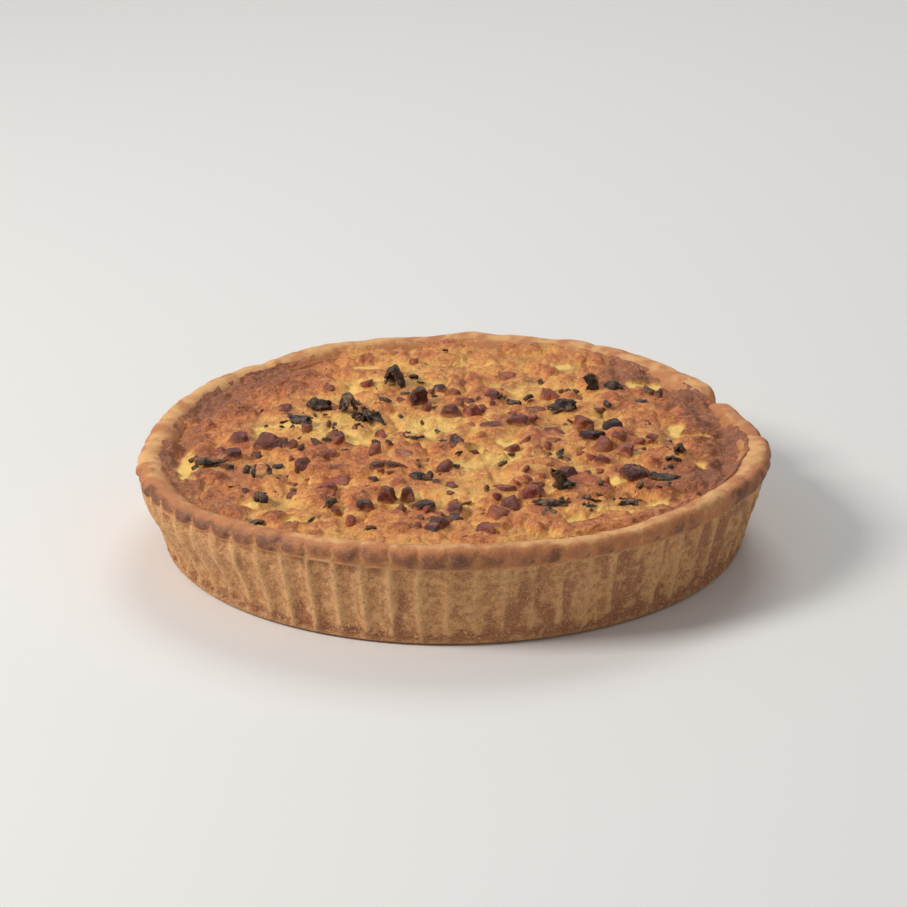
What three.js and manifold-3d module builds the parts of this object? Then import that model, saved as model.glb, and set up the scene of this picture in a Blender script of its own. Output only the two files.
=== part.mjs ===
// A round quiche, turned out of its tin: a fluted shortcrust base with a rolled rim, filled with
// set custard that is strewn with diced bacon and charred leek.
// Millimetres, +Z up. The origin is the middle of the flat underside, on which the quiche rests.
// Angles round the quiche are in degrees from the front (-Y) towards the right (+X).

import * as THREE from 'three';
import { mergeVertices } from 'three/addons/utils/BufferGeometryUtils.js';
import Module from 'manifold-3d';

const wasm = await Module();
wasm.setup();

// ---------------------------------------------------------------- driving dimensions

const RIM_RADIUS = 130; // outermost edge of the rolled rim
const CREST_RADIUS = 125.3; // highest line of the rim
const CREST_HEIGHT = 42.5;
const RIM_INNER_RADIUS = 120.6; // where the rim meets the filling
const RIM_UNDERSIDE = 36.5; // height at which the rim starts to overhang the wall
const WALL_TOP_RADIUS = 126.8; // ridges of the wall, just under the rim
const FOOT_RADIUS = 121; // ridges of the wall, at the foot
const FOOT_ROUNDING = 2.5; // rounded edge between wall and underside
const BASE_THICKNESS = 5; // pastry under the filling
const WALL_THICKNESS = 5.5; // pastry beside the filling, at the foot

const FLUTES = 72; // channels pressed into the wall by the tin
const FLUTE_DEPTH = 1.7;
const FLUTE_TOP = 31; // height at which the channels start to close
const FIRST_RIDGE = -1.2; // angle of the ridge nearest to the front
const SAMPLES_PER_FLUTE = 3; // one on the ridge, two in the channel
const LOBE_SWELL = 0.4; // how far the rim swells over each channel

const FILLING_LEVEL = 39.9; // mean height of the custard
const SEAT_GAP = 0.3; // clearance between touching pieces
const FILLING_COLUMNS = 60;
const FILLING_RINGS = 9;

const LARDON_SUNK = 3; // how deep a lardon is cut before the custard trims it
const LEEK_THICKNESS = 1.3;
const LEEK_SUNK = 1.5;

// Slow rise and fall of the rim: waves round the quiche, height in millimetres.
const RIM_WAVES = [
  { count: 2, height: 0.35, phase: 40 },
  { count: 5, height: 0.3, phase: 110 },
  { count: 9, height: 0.22, phase: 15 },
];

// Places where the rim departs from a true ring. Lift is upward and push is outward.
const RIM_FEATURES = [
  { angle: 179, halfWidth: 6, lift: 1.4, push: 0.2 }, // pinched peak at the back
  { angle: 112, halfWidth: 4.5, lift: -2.6, push: -4 }, // break that the filling ran into
  { angle: 84, halfWidth: 4, lift: 0.5, push: 0.3 }, // overlapping ends of the dough
  { angle: 57, halfWidth: 5, lift: 0.6, push: 0 }, // thumb mark beside a thicker stretch
];

// Long waves of the custard's skin: height, wavelength, direction and phase.
const FILLING_WAVES = [
  { height: 0.45, length: 71, direction: 20, phase: 60 },
  { height: 0.4, length: 47, direction: 97, phase: 200 },
  { height: 0.35, length: 38, direction: 151, phase: 15 },
  { height: 0.3, length: 29, direction: 62, phase: 310 },
];

// Diced bacon: where it lies, how long, wide and high above the custard it is, and its turn.
const LARDONS = [
  { x: -88, y: -2, length: 9, width: 8, rise: 4, turn: 12 },
  { x: -74, y: -9, length: 16, width: 11, rise: 6, turn: -12 },
  { x: -91, y: -20, length: 10, width: 7, rise: 4, turn: 25 },
  { x: -72, y: 33, length: 10, width: 7, rise: 3, turn: -6 },
  { x: -50, y: -23, length: 9, width: 7, rise: 4, turn: 14 },
  { x: -49, y: 0, length: 10, width: 7, rise: 3, turn: 4 },
  { x: -15, y: 42, length: 8, width: 8, rise: 8, turn: 20 },
  { x: 0, y: 51, length: 6, width: 6, rise: 4, turn: 35 },
  { x: -1, y: 25, length: 9, width: 7, rise: 5, turn: -5 },
  { x: 8, y: 24, length: 7, width: 6, rise: 6, turn: 30 },
  { x: 16, y: 11, length: 10, width: 7, rise: 4, turn: 18 },
  { x: 16, y: 48, length: 10, width: 6, rise: 4, turn: -28 },
  { x: -22, y: -20, length: 14, width: 9, rise: 2, turn: -8 },
  { x: -24, y: -33, length: 13, width: 7, rise: 3, turn: 9 },
  { x: 27, y: 17, length: 9, width: 8, rise: 5, turn: -20 },
  { x: 35, y: 29, length: 10, width: 7, rise: 3, turn: -4 },
  { x: 54, y: 13, length: 10, width: 8, rise: 5, turn: 15 },
  { x: 57, y: -3, length: 11, width: 8, rise: 5, turn: 28 },
  { x: 66, y: 6, length: 9, width: 7, rise: 5, turn: 22 },
  { x: 42, y: 4, length: 11, width: 7, rise: 3, turn: -3 },
  { x: 40, y: -8, length: 10, width: 6, rise: 2, turn: 6 },
  { x: 60, y: -29, length: 7, width: 6, rise: 4, turn: 0 },
  { x: 69, y: -21, length: 9, width: 7, rise: 4, turn: -15 },
  { x: 71, y: -48, length: 11, width: 10, rise: 7, turn: 32 },
  { x: 81, y: -5, length: 8, width: 5, rise: 2, turn: -14 },
  { x: -51, y: -57, length: 12, width: 9, rise: 3, turn: 10 },
  { x: -35, y: -79, length: 8, width: 7, rise: 5, turn: 15 },
  { x: -26, y: -72, length: 7, width: 7, rise: 7, turn: -20 },
  { x: -27, y: -90, length: 11, width: 5, rise: 2, turn: 12 },
  { x: -18, y: -69, length: 6, width: 6, rise: 6, turn: 8 },
  { x: -13, y: -79, length: 13, width: 8, rise: 4, turn: 10 },
  { x: 0, y: -80, length: 8, width: 7, rise: 4, turn: -18 },
  { x: -7, y: -99, length: 15, width: 7, rise: 6, turn: 62 },
  { x: 20, y: -62, length: 10, width: 5, rise: 3, turn: 15 },
  { x: 31, y: -69, length: 11, width: 8, rise: 5, turn: 6 },
  { x: 44, y: -49, length: 12, width: 9, rise: 5, turn: 8 },
];

// Charred leek. A leaf lies arched on the custard, a fold is bent over like a tent, a roll is
// curled into an open ring, and a blade stands on its end.
const LEEKS = [
  { kind: 'leaf', x: -64, y: 18, length: 11, width: 6, rise: 3, turn: -18 },
  { kind: 'fold', x: -56, y: 35, length: 10, width: 7, rise: 5, turn: 5 },
  { kind: 'leaf', x: -99, y: -28, length: 10, width: 5, rise: 2, turn: 6 },
  { kind: 'roll', x: -77, y: -41, length: 5, width: 7, rise: 5, turn: -70 },
  { kind: 'fold', x: -25, y: 62, length: 8, width: 10, rise: 10, turn: 68 },
  { kind: 'fold', x: -44, y: 31, length: 7, width: 8, rise: 8, turn: -60 },
  { kind: 'roll', x: -36, y: 20, length: 12, width: 7, rise: 7, turn: -48 },
  { kind: 'leaf', x: -14, y: -48, length: 8, width: 5, rise: 3, turn: 3 },
  { kind: 'fold', x: 46, y: 30, length: 10, width: 7, rise: 5, turn: -10 },
  { kind: 'blade', x: 59, y: 52, length: 5, width: 2, rise: 9, turn: 10 },
  { kind: 'leaf', x: 68, y: 55, length: 10, width: 4, rise: 2, turn: 8 },
  { kind: 'leaf', x: -76, y: -68, length: 7, width: 6, rise: 3, turn: -4 },
  { kind: 'blade', x: 41, y: -62, length: 5, width: 2, rise: 10, turn: -8 },
  { kind: 'leaf', x: 38, y: -79, length: 13, width: 5, rise: 2, turn: 8 },
  { kind: 'roll', x: 52, y: -76, length: 9, width: 6, rise: 3, turn: -15 },
  { kind: 'roll', x: 68, y: -73, length: 10, width: 5, rise: 3, turn: -8 },
  { kind: 'leaf', x: 85, y: -51, length: 10, width: 6, rise: 2, turn: -3 },
  { kind: 'fold', x: 92, y: -20, length: 5, width: 6, rise: 4, turn: 75 },
];

// ---------------------------------------------------------------- helpers

const radians = THREE.MathUtils.degToRad;

/** Repeatable numbers from -1 to 1, so that every build gives the same dice. */
function makeJitter(seed) {
  let state = seed * 7919 + 17;
  return () => {
    state = (state * 16807) % 2147483647;
    return (state / 2147483647) * 2 - 1;
  };
}

/** The point at a radius, an angle from the front in degrees, and a height. */
function polar(radius, angle, height) {
  return [radius * Math.sin(radians(angle)), -radius * Math.cos(radians(angle)), height];
}

/**
 * A closed body from rings stacked along a section. Each ring is a function of the angle that
 * gives [radius, height]. The first and last entries are the heights of the two poles.
 */
function ringSolid(bottomHeight, rings, topHeight, columns, firstAngle) {
  const positions = [0, 0, bottomHeight];
  for (const ring of rings) {
    for (let column = 0; column < columns; column += 1) {
      const angle = firstAngle + (column * 360) / columns;
      const [radius, height] = ring(angle);
      positions.push(...polar(radius, angle, height));
    }
  }
  positions.push(0, 0, topHeight);

  const topPole = positions.length / 3 - 1;
  const corner = (ring, column) => 1 + ring * columns + (column % columns);
  const triangles = [];
  for (let column = 0; column < columns; column += 1) {
    triangles.push(0, corner(0, column + 1), corner(0, column));
    for (let ring = 0; ring < rings.length - 1; ring += 1) {
      const low = corner(ring, column);
      const lowNext = corner(ring, column + 1);
      const high = corner(ring + 1, column);
      const highNext = corner(ring + 1, column + 1);
      triangles.push(low, lowNext, high, lowNext, highNext, high);
    }
    triangles.push(corner(rings.length - 1, column), corner(rings.length - 1, column + 1), topPole);
  }

  const geometry = new THREE.BufferGeometry();
  geometry.setAttribute('position', new THREE.Float32BufferAttribute(positions, 3));
  geometry.setIndex(triangles);
  return geometry;
}

/** A geometry with only merged positions, as the boolean library needs it. */
function bare(geometry) {
  geometry.deleteAttribute('normal');
  geometry.deleteAttribute('uv');
  return mergeVertices(geometry, 1e-4);
}

function toManifold(geometry) {
  const vertProperties = new Float32Array(geometry.attributes.position.array);
  const triVerts = new Uint32Array(geometry.index.array);
  return new wasm.Manifold(new wasm.Mesh({ numProp: 3, vertProperties, triVerts }));
}

function fromManifold(solid) {
  const mesh = solid.getMesh();
  const geometry = new THREE.BufferGeometry();
  geometry.setAttribute('position', new THREE.BufferAttribute(mesh.vertProperties, 3));
  geometry.setIndex(new THREE.BufferAttribute(mesh.triVerts, 1));
  return geometry;
}

// ---------------------------------------------------------------- the pastry

/** 1 at the feature's middle, falling smoothly to 0 a little past its half-width. */
function bump(angle, feature) {
  const away = THREE.MathUtils.euclideanModulo(angle - feature.angle + 180, 360) - 180;
  return Math.exp(-((away / feature.halfWidth) ** 2));
}

/** How much higher or lower than a true ring the rim is. */
function rimLift(angle) {
  let lift = 0;
  for (const wave of RIM_WAVES) lift += wave.height * Math.sin(radians(wave.count * angle + wave.phase));
  for (const feature of RIM_FEATURES) lift += feature.lift * bump(angle, feature);
  return lift;
}

/** How much further out than a true ring the rim is. */
function rimPush(angle) {
  let push = 0;
  for (const feature of RIM_FEATURES) push += feature.push * bump(angle, feature);
  return push;
}

/** 0 on a ridge and 1 in the middle of a channel: a shallow parabola between the ridges. */
function channel(angle) {
  const acrossPanel = THREE.MathUtils.euclideanModulo(((angle - FIRST_RIDGE) * FLUTES) / 360, 1);
  return 1 - (2 * acrossPanel - 1) ** 2;
}

/** Radius of the wall's ridges at a height: the wall leans out from foot to rim. */
function ridgeRadius(height) {
  return THREE.MathUtils.mapLinear(height, 0, RIM_UNDERSIDE, FOOT_RADIUS, WALL_TOP_RADIUS);
}

/** A ring of the fluted wall. */
function wallRing(height, depth) {
  return (angle) => [ridgeRadius(height) - depth * channel(angle), height];
}

/** A ring of the rolled rim, with how much of the push, the lobes and the lift it follows. */
function rimRing({ radius, height, push, swell, lift }) {
  return (angle) => [
    radius + push * rimPush(angle) + swell * LOBE_SWELL * (channel(angle) - 0.5),
    height + lift * rimLift(angle),
  ];
}

/** The whole pastry: underside, fluted wall, rolled rim, and the hollow for the filling. */
function crustGeometry() {
  const rings = [
    () => [FOOT_RADIUS - FLUTE_DEPTH - FOOT_ROUNDING, 0],
    wallRing(FOOT_ROUNDING, FLUTE_DEPTH),
    wallRing(FLUTE_TOP, FLUTE_DEPTH),
    wallRing(RIM_UNDERSIDE, 0),
    rimRing({ radius: RIM_RADIUS - 0.6, height: RIM_UNDERSIDE + 1.5, push: 1, swell: 1, lift: 0.3 }),
    rimRing({ radius: RIM_RADIUS - 0.2, height: CREST_HEIGHT - 2.2, push: 1, swell: 1, lift: 0.8 }),
    rimRing({ radius: CREST_RADIUS + 2.9, height: CREST_HEIGHT - 0.6, push: 0.9, swell: 0.5, lift: 1 }),
    rimRing({ radius: CREST_RADIUS, height: CREST_HEIGHT, push: 0.5, swell: 0, lift: 1 }),
    rimRing({ radius: CREST_RADIUS - 2.8, height: CREST_HEIGHT - 0.9, push: 0, swell: 0, lift: 0.8 }),
    () => [RIM_INNER_RADIUS, FILLING_LEVEL - 1],
    () => [FOOT_RADIUS - WALL_THICKNESS - FLUTE_DEPTH, BASE_THICKNESS],
  ];
  return ringSolid(0, rings, BASE_THICKNESS, FLUTES * SAMPLES_PER_FLUTE, FIRST_RIDGE);
}

// ---------------------------------------------------------------- the filling

/** Height of the custard's skin: the level, the long waves, and a lower edge by the rim. */
function fillingHeight(x, y) {
  let height = FILLING_LEVEL;
  for (const wave of FILLING_WAVES) {
    const along = x * Math.cos(radians(wave.direction)) + y * Math.sin(radians(wave.direction));
    height += wave.height * Math.sin((2 * Math.PI * along) / wave.length + radians(wave.phase));
  }
  return height;
}

/** The custard, which fills the pastry from its base to the skin. */
function fillingGeometry() {
  const skinRadius = RIM_INNER_RADIUS - SEAT_GAP;
  const footRadius = FOOT_RADIUS - WALL_THICKNESS - FLUTE_DEPTH - SEAT_GAP;
  const rings = [() => [footRadius, BASE_THICKNESS + SEAT_GAP]];
  for (let ring = FILLING_RINGS; ring > 0; ring -= 1) {
    const radius = (skinRadius * ring) / FILLING_RINGS;
    rings.push((angle) => {
      const [x, y] = polar(radius, angle, 0);
      return [radius, fillingHeight(x, y)];
    });
  }
  return ringSolid(BASE_THICKNESS + SEAT_GAP, rings, fillingHeight(0, 0), FILLING_COLUMNS, 0);
}

// ---------------------------------------------------------------- the toppings

/** A hand-cut dice of bacon: a box with softened corners and no two faces quite square. */
function lardonGeometry(lardon, seed) {
  const height = lardon.rise + LARDON_SUNK;
  const half = new THREE.Vector3(lardon.length / 2, lardon.width / 2, height / 2);
  const geometry = bare(new THREE.BoxGeometry(lardon.length, lardon.width, height, 2, 2, 2));
  const position = geometry.attributes.position;
  const jitter = makeJitter(seed);
  const softness = 6; // power of the rounding: 2 would be an egg, more is squarer
  const unevenness = 0.09;
  const point = new THREE.Vector3();
  for (let i = 0; i < position.count; i += 1) {
    point.fromBufferAttribute(position, i).divide(half);
    const reach = Math.abs(point.x) ** softness + Math.abs(point.y) ** softness + Math.abs(point.z) ** softness;
    point.divideScalar(reach ** (1 / softness));
    point.x += unevenness * jitter();
    point.y += unevenness * jitter();
    point.z += unevenness * jitter();
    point.multiply(half);
    position.setXYZ(i, point.x, point.y, point.z);
  }
  geometry.translate(0, 0, lardon.rise - height / 2);
  return geometry;
}

/** The middle line of a leek piece's section, as [across, up] points from side to side. */
function leekMidline(leek) {
  const steps = 4;
  const top = leek.rise - LEEK_THICKNESS / 2;
  const line = [];
  for (let i = 0; i <= steps; i += 1) {
    const t = (2 * i) / steps - 1;
    if (leek.kind === 'roll') {
      const swing = radians(125 * t);
      const radiusUp = (top + LEEK_SUNK) / (1 - Math.cos(radians(125)));
      line.push([(leek.width / 2) * Math.sin(swing), top - radiusUp * (1 - Math.cos(swing))]);
    } else {
      const sharpness = leek.kind === 'fold' ? 1.25 : 2;
      line.push([(leek.width / 2) * t, top - (top + LEEK_SUNK) * Math.abs(t) ** sharpness]);
    }
  }
  return line;
}

/** The outline of a sheet of leek: its middle line moved half its thickness to either side. */
function leekOutline(leek) {
  const line = leekMidline(leek).map(([across, up]) => new THREE.Vector2(across, up));
  const outer = [];
  const inner = [];
  line.forEach((point, i) => {
    const before = line[Math.max(i - 1, 0)];
    const after = line[Math.min(i + 1, line.length - 1)];
    const along = after.clone().sub(before).normalize();
    const normal = new THREE.Vector2(-along.y, along.x).multiplyScalar(LEEK_THICKNESS / 2);
    outer.push(point.clone().add(normal));
    inner.unshift(point.clone().sub(normal));
  });
  return new THREE.Shape([...outer, ...inner]);
}

/** A leek piece that stands on its end: a tapering strip, twisted a little as it rises. */
function leekBladeGeometry(leek) {
  const height = leek.rise + LEEK_SUNK;
  const geometry = bare(new THREE.BoxGeometry(leek.length, leek.width, height, 2, 1, 4));
  geometry.translate(0, 0, height / 2 - LEEK_SUNK);
  const position = geometry.attributes.position;
  const point = new THREE.Vector3();
  for (let i = 0; i < position.count; i += 1) {
    point.fromBufferAttribute(position, i);
    const risen = point.z / leek.rise;
    point.x *= 0.75 + 0.35 * Math.sin(Math.PI * risen);
    point.y += 0.6 * Math.sin(3 * risen) * Math.sign(point.x || 1) * Math.abs(point.x) * 0.4;
    point.x += 1.6 * risen;
    position.setXYZ(i, point.x, point.y, point.z);
  }
  return geometry;
}

function leekGeometry(leek) {
  if (leek.kind === 'blade') return leekBladeGeometry(leek);
  const geometry = new THREE.ExtrudeGeometry(leekOutline(leek), {
    depth: leek.length,
    steps: 1,
    bevelEnabled: false,
  });
  // The section is drawn across and up, so its up (Y) is turned to +Z and its depth to +X.
  geometry.translate(0, 0, -leek.length / 2);
  geometry.rotateX(Math.PI / 2);
  geometry.rotateZ(Math.PI / 2);
  return bare(geometry);
}

/** Sets a topping on the custard at its place and cuts away what would lie in the custard. */
function seatTopping(geometry, topping, raisedFilling) {
  const place = new THREE.Matrix4().makeRotationZ(radians(topping.turn));
  place.setPosition(topping.x, topping.y, fillingHeight(topping.x, topping.y));
  geometry.applyMatrix4(place);
  const trimmed = fromManifold(toManifold(geometry).subtract(raisedFilling));
  trimmed.translate(-topping.x, -topping.y, 0);
  return trimmed;
}

// ---------------------------------------------------------------- the assembly

const materials = {
  pastry: { color: 0xb4865c, roughness: 0.75, metalness: 0 },
  custard: { color: 0xc58f59, roughness: 0.5, metalness: 0 },
  bacon: { color: 0x76392a, roughness: 0.4, metalness: 0 },
  leek: { color: 0x382318, roughness: 0.6, metalness: 0 },
};

function addPiece(group, name, geometry, material) {
  geometry.computeVertexNormals();
  const mesh = new THREE.Mesh(geometry, new THREE.MeshStandardMaterial(material));
  mesh.name = name;
  group.add(mesh);
  return mesh;
}

function addToppings(group, list, nameOf, geometryOf, material, raisedFilling) {
  list.forEach((topping, i) => {
    const geometry = seatTopping(geometryOf(topping, i + 1), topping, raisedFilling);
    const number = String(i + 1).padStart(2, '0');
    const mesh = addPiece(group, `${nameOf(topping)}_${number}`, geometry, material);
    mesh.position.set(topping.x, topping.y, 0);
  });
}

const quiche = new THREE.Group();
addPiece(quiche, 'crust', crustGeometry(), materials.pastry);
addPiece(quiche, 'filling', fillingGeometry(), materials.custard);

const raisedFilling = toManifold(fillingGeometry()).translate([0, 0, SEAT_GAP]);
addToppings(quiche, LARDONS, () => 'bacon', lardonGeometry, materials.bacon, raisedFilling);
addToppings(quiche, LEEKS, (leek) => `leek_${leek.kind}`, leekGeometry, materials.leek, raisedFilling);

export default quiche;
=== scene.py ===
# %% [markdown]
# # A bacon and leek quiche
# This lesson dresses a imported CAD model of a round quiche: a fluted shortcrust wall with a rolled rim,
# a custard that has browned and blistered in the oven, diced bacon and charred leek.
# The CAD model gives every size and place. Blender gives the surfaces: the flutes with their
# crisp edges, the puffed skin of the custard, and the colours that baking leaves.

# %% Load the CAD frame
import bpy
import numpy as np
from mathutils import Euler, Matrix, Vector


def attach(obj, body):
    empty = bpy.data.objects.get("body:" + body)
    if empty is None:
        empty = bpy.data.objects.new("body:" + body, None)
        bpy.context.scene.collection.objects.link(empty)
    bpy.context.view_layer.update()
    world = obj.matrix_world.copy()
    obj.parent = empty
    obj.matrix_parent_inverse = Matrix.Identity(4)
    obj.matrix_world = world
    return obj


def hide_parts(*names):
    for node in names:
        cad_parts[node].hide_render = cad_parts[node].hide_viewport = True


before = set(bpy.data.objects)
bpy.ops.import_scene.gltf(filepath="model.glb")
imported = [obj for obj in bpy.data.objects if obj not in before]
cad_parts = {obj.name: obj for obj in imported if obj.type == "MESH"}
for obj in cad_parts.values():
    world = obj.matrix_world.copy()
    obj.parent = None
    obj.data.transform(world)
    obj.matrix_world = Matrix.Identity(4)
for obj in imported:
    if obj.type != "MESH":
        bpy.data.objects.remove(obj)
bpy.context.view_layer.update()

MM = 0.001

# %% [markdown]
# ## The camera
# A quiche shows best from low down and through a long lens: the rim is then a slim ellipse and the
# wall is in view. A lens of 124 mm from 1.3 m away has almost no perspective. The camera looks a little
# above the foot of the quiche, which leaves room in front of it.

# %% Camera
CAMERA_DISTANCE = 1.3
CAMERA_ELEVATION = np.radians(22.2)
CAMERA_LIFT = np.radians(1.36)      # the view's middle lies above the foot of the quiche
CAMERA_ROLL = np.radians(-0.5)

camera_data = bpy.data.cameras.new("camera")
camera_data.lens = 123.6
camera_data.clip_end = 50.0
camera = bpy.data.objects.new("camera", camera_data)
bpy.context.scene.collection.objects.link(camera)
camera.location = (
    0.0,
    -CAMERA_DISTANCE * np.cos(CAMERA_ELEVATION),
    CAMERA_DISTANCE * np.sin(CAMERA_ELEVATION),
)
tilt = np.pi / 2 - CAMERA_ELEVATION + CAMERA_LIFT
camera.rotation_euler = (Euler((tilt, 0, 0)).to_matrix() @ Matrix.Rotation(CAMERA_ROLL, 3, "Z")).to_euler()
bpy.context.scene.camera = camera
print("camera at", [round(value, 3) for value in camera.location])

# %% [markdown]
# ## Floor and light
# A plain pale floor and soft light show food best. One broad lamp stands high on the left, so the
# flutes on that side throw small shadows, and a weak one on the right keeps the far wall readable.
# Area lamps are used because their size sets how soft the shadows are.

# %% Floor, lamps and sky
def plain_material(name, color, roughness):
    """A Principled material with one colour and one roughness, for the floor only."""
    material = bpy.data.materials.new(name)
    material.use_nodes = True
    shader = material.node_tree.nodes["Principled BSDF"]
    shader.inputs["Base Color"].default_value = (*color, 1.0)
    shader.inputs["Roughness"].default_value = roughness
    return material


FLOOR_HALF = 4.0
floor_mesh = bpy.data.meshes.new("floor")
corners = [(-1, -1), (1, -1), (1, 1), (-1, 1)]
floor_mesh.from_pydata([(x * FLOOR_HALF, y * FLOOR_HALF, -0.0002) for x, y in corners], [], [(0, 1, 2, 3)])
floor_mesh.materials.append(plain_material("floor_paper", (0.80, 0.79, 0.77), 0.7))
floor = bpy.data.objects.new("floor", floor_mesh)
bpy.context.scene.collection.objects.link(floor)


def area_lamp(name, azimuth, elevation, distance, size, watts, color):
    """A square lamp aimed at the quiche. Azimuth runs from the front towards the right."""
    azimuth, elevation = np.radians(azimuth), np.radians(elevation)
    data = bpy.data.lights.new(name, "AREA")
    data.size, data.energy, data.color = size, watts, color
    lamp = bpy.data.objects.new(name, data)
    bpy.context.scene.collection.objects.link(lamp)
    lamp.location = distance * Vector((
        np.sin(azimuth) * np.cos(elevation),
        -np.cos(azimuth) * np.cos(elevation),
        np.sin(elevation),
    ))
    lamp.rotation_euler = (-lamp.location).to_track_quat("-Z", "Y").to_euler()
    return lamp


area_lamp("key_lamp", -74, 40, 1.9, 0.6, 27.0, (1.0, 0.98, 0.95))
area_lamp("back_lamp", 172, 52, 2.0, 0.9, 11.0, (1.0, 0.98, 0.96))
area_lamp("fill_lamp", 40, 30, 2.2, 1.4, 2.5, (0.97, 0.98, 1.0))

sky = bpy.data.worlds.new("studio")
sky.use_nodes = True
sky.node_tree.nodes["Background"].inputs["Color"].default_value = (0.92, 0.93, 0.95, 1.0)
sky.node_tree.nodes["Background"].inputs["Strength"].default_value = 0.30
bpy.context.scene.world = sky
bpy.context.scene.view_settings.view_transform = "Standard"
print("lamps:", [lamp.name for lamp in bpy.data.lights])

# %% [markdown]
# ## Tools for shapes
# Every piece below is a grid of points worked out as whole arrays. Two kinds of helper are needed:
# smooth random fields for the unevenness of baked food, and a function that turns a stack of rings
# into a closed mesh.

# %% Random fields and soft steps
def soft_step(low, high, value):
    """0 below low, 1 above high, and the smooth cubic 3t^2 - 2t^3 between them."""
    t = np.clip((value - low) / (high - low), 0.0, 1.0)
    return t * t * (3 - 2 * t)


def hump(value, middle, width):
    """A bell curve exp(-((value - middle) / width)^2): 1 at the middle, 0.37 one width away."""
    return np.exp(-(((value - middle) / width) ** 2))


def corner_values(corner, seed):
    """A repeatable random number from -1 to 1 for each whole-number corner of the lattice."""
    mixed = corner[..., 0] * 73856093 ^ corner[..., 1] * 19349663 ^ corner[..., 2] * 83492791
    mixed = (mixed ^ (seed * 2654435761)) & 0xFFFFFFFF
    mixed = ((mixed ^ (mixed >> 15)) * 2246822519) & 0xFFFFFFFF
    mixed = ((mixed ^ (mixed >> 13)) * 3266489917) & 0xFFFFFFFF
    return (mixed ^ (mixed >> 16)) / 2147483647.5 - 1.0


def cloud(points, grain, seed):
    """Random values at the corners of a cubic lattice of side grain, blended with the quintic
    6t^5 - 15t^4 + 10t^3 in between. Gives a smooth field from -1 to 1."""
    place = points / grain + 31.7 * seed
    corner = np.floor(place).astype(np.int64)
    t = place - corner
    t = t * t * t * (t * (6 * t - 15) + 10)
    total = np.zeros(points.shape[:-1])
    for step in np.ndindex(2, 2, 2):
        weight = np.prod(np.where(step, t, 1 - t), axis=-1)
        total += weight * corner_values(corner + step, seed)
    return total


def clouds(points, grain, seed, layers=3):
    """Sum of clouds, each of half the grain and half the height of the one before."""
    return sum(cloud(points, grain / 2**k, seed + 7 * k) / 2**k for k in range(layers)) / 1.6


def puffs(points, grain, seed, layers=2):
    """Rounded swellings with creases between them: the absolute value of clouds, so that every
    place where a cloud passes through zero becomes a crease. From 0 to about 1."""
    return sum(np.abs(cloud(points, grain / 2**k, seed + 5 * k)) / 2**k for k in range(layers)) * 1.3


sample = np.random.default_rng(1).uniform(0, 1, (2000, 3))
print("clouds spread:", np.round(clouds(sample, 0.1, 3).std(), 3))
print("puffs mean:", np.round(puffs(sample, 0.1, 3).mean(), 3))


# %% Meshes from rings of points
def set_attributes(mesh, attributes):
    """Stores one number for each point under each name, for the materials to read."""
    for name, values in attributes.items():
        layer = mesh.attributes.new(name, "FLOAT", "POINT")
        layer.data.foreach_set("value", np.ascontiguousarray(values, np.float32).ravel())


def finish_mesh(name, points, faces, attributes, material):
    """A smooth-shaded object at the origin from points in metres."""
    mesh = bpy.data.meshes.new(name)
    mesh.from_pydata(points, [], faces)
    mesh.polygons.foreach_set("use_smooth", np.ones(len(mesh.polygons), bool))
    set_attributes(mesh, attributes)
    mesh.materials.append(material)
    mesh.update()
    piece = bpy.data.objects.new(name, mesh)
    bpy.context.scene.collection.objects.link(piece)
    return piece


def ring_faces(rows, columns, first=0):
    """Faces of a stack of closed rings, with one pole point before the first ring and one after
    the last. The rings run anticlockwise seen from the last pole, so the faces look outwards."""
    row, column = np.meshgrid(np.arange(rows - 1), np.arange(columns), indexing="ij")
    following = (column + 1) % columns
    start = first + 1
    quads = np.stack([
        start + row * columns + column,
        start + row * columns + following,
        start + (row + 1) * columns + following,
        start + (row + 1) * columns + column,
    ], axis=-1).reshape(-1, 4)
    turn = np.arange(columns)
    turned = (turn + 1) % columns
    last_ring = start + (rows - 1) * columns
    last_pole = start + rows * columns
    below = np.stack([np.full(columns, first), start + turned, start + turn], axis=-1)
    above = np.stack([last_ring + turn, last_ring + turned, np.full(columns, last_pole)], axis=-1)
    return quads.tolist() + below.tolist() + above.tolist()


def with_poles(rings, low=None, high=None):
    """The ring points as one list, with a pole before and after: by default the ends' middles."""
    low = rings[0].mean(axis=0) if low is None else low
    high = rings[-1].mean(axis=0) if high is None else high
    flat = rings.reshape(-1, rings.shape[-1])
    return np.vstack([np.atleast_2d(low), flat, np.atleast_2d(high)])


def ring_piece(name, rings, attributes, material):
    """A closed piece from an array of rings, shaped (rows, columns, 3)."""
    points = with_poles(rings)
    spread = {key: with_poles(values[..., None])[:, 0] for key, values in attributes.items()}
    faces = ring_faces(rings.shape[0], rings.shape[1])
    return finish_mesh(name, points.tolist(), faces, spread, material)


# %% [markdown]
# ## Tools for finishes
# Baked food is never one colour. Large browned areas follow the shape, so they are stored on the
# mesh as attributes. Fine grain is the same everywhere, so it comes from noise in the shader. One
# node group makes that grain, and each material uses it with its own size.

# %% Shader helpers
def srgb(red, green, blue):
    """A colour given as 0 to 255 screen values, turned into the linear values a shader needs."""
    value = np.array([red, green, blue]) / 255.0
    linear = np.where(value <= 0.04045, value / 12.92, ((value + 0.055) / 1.055) ** 2.4)
    return (*linear.tolist(), 1.0)


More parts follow.
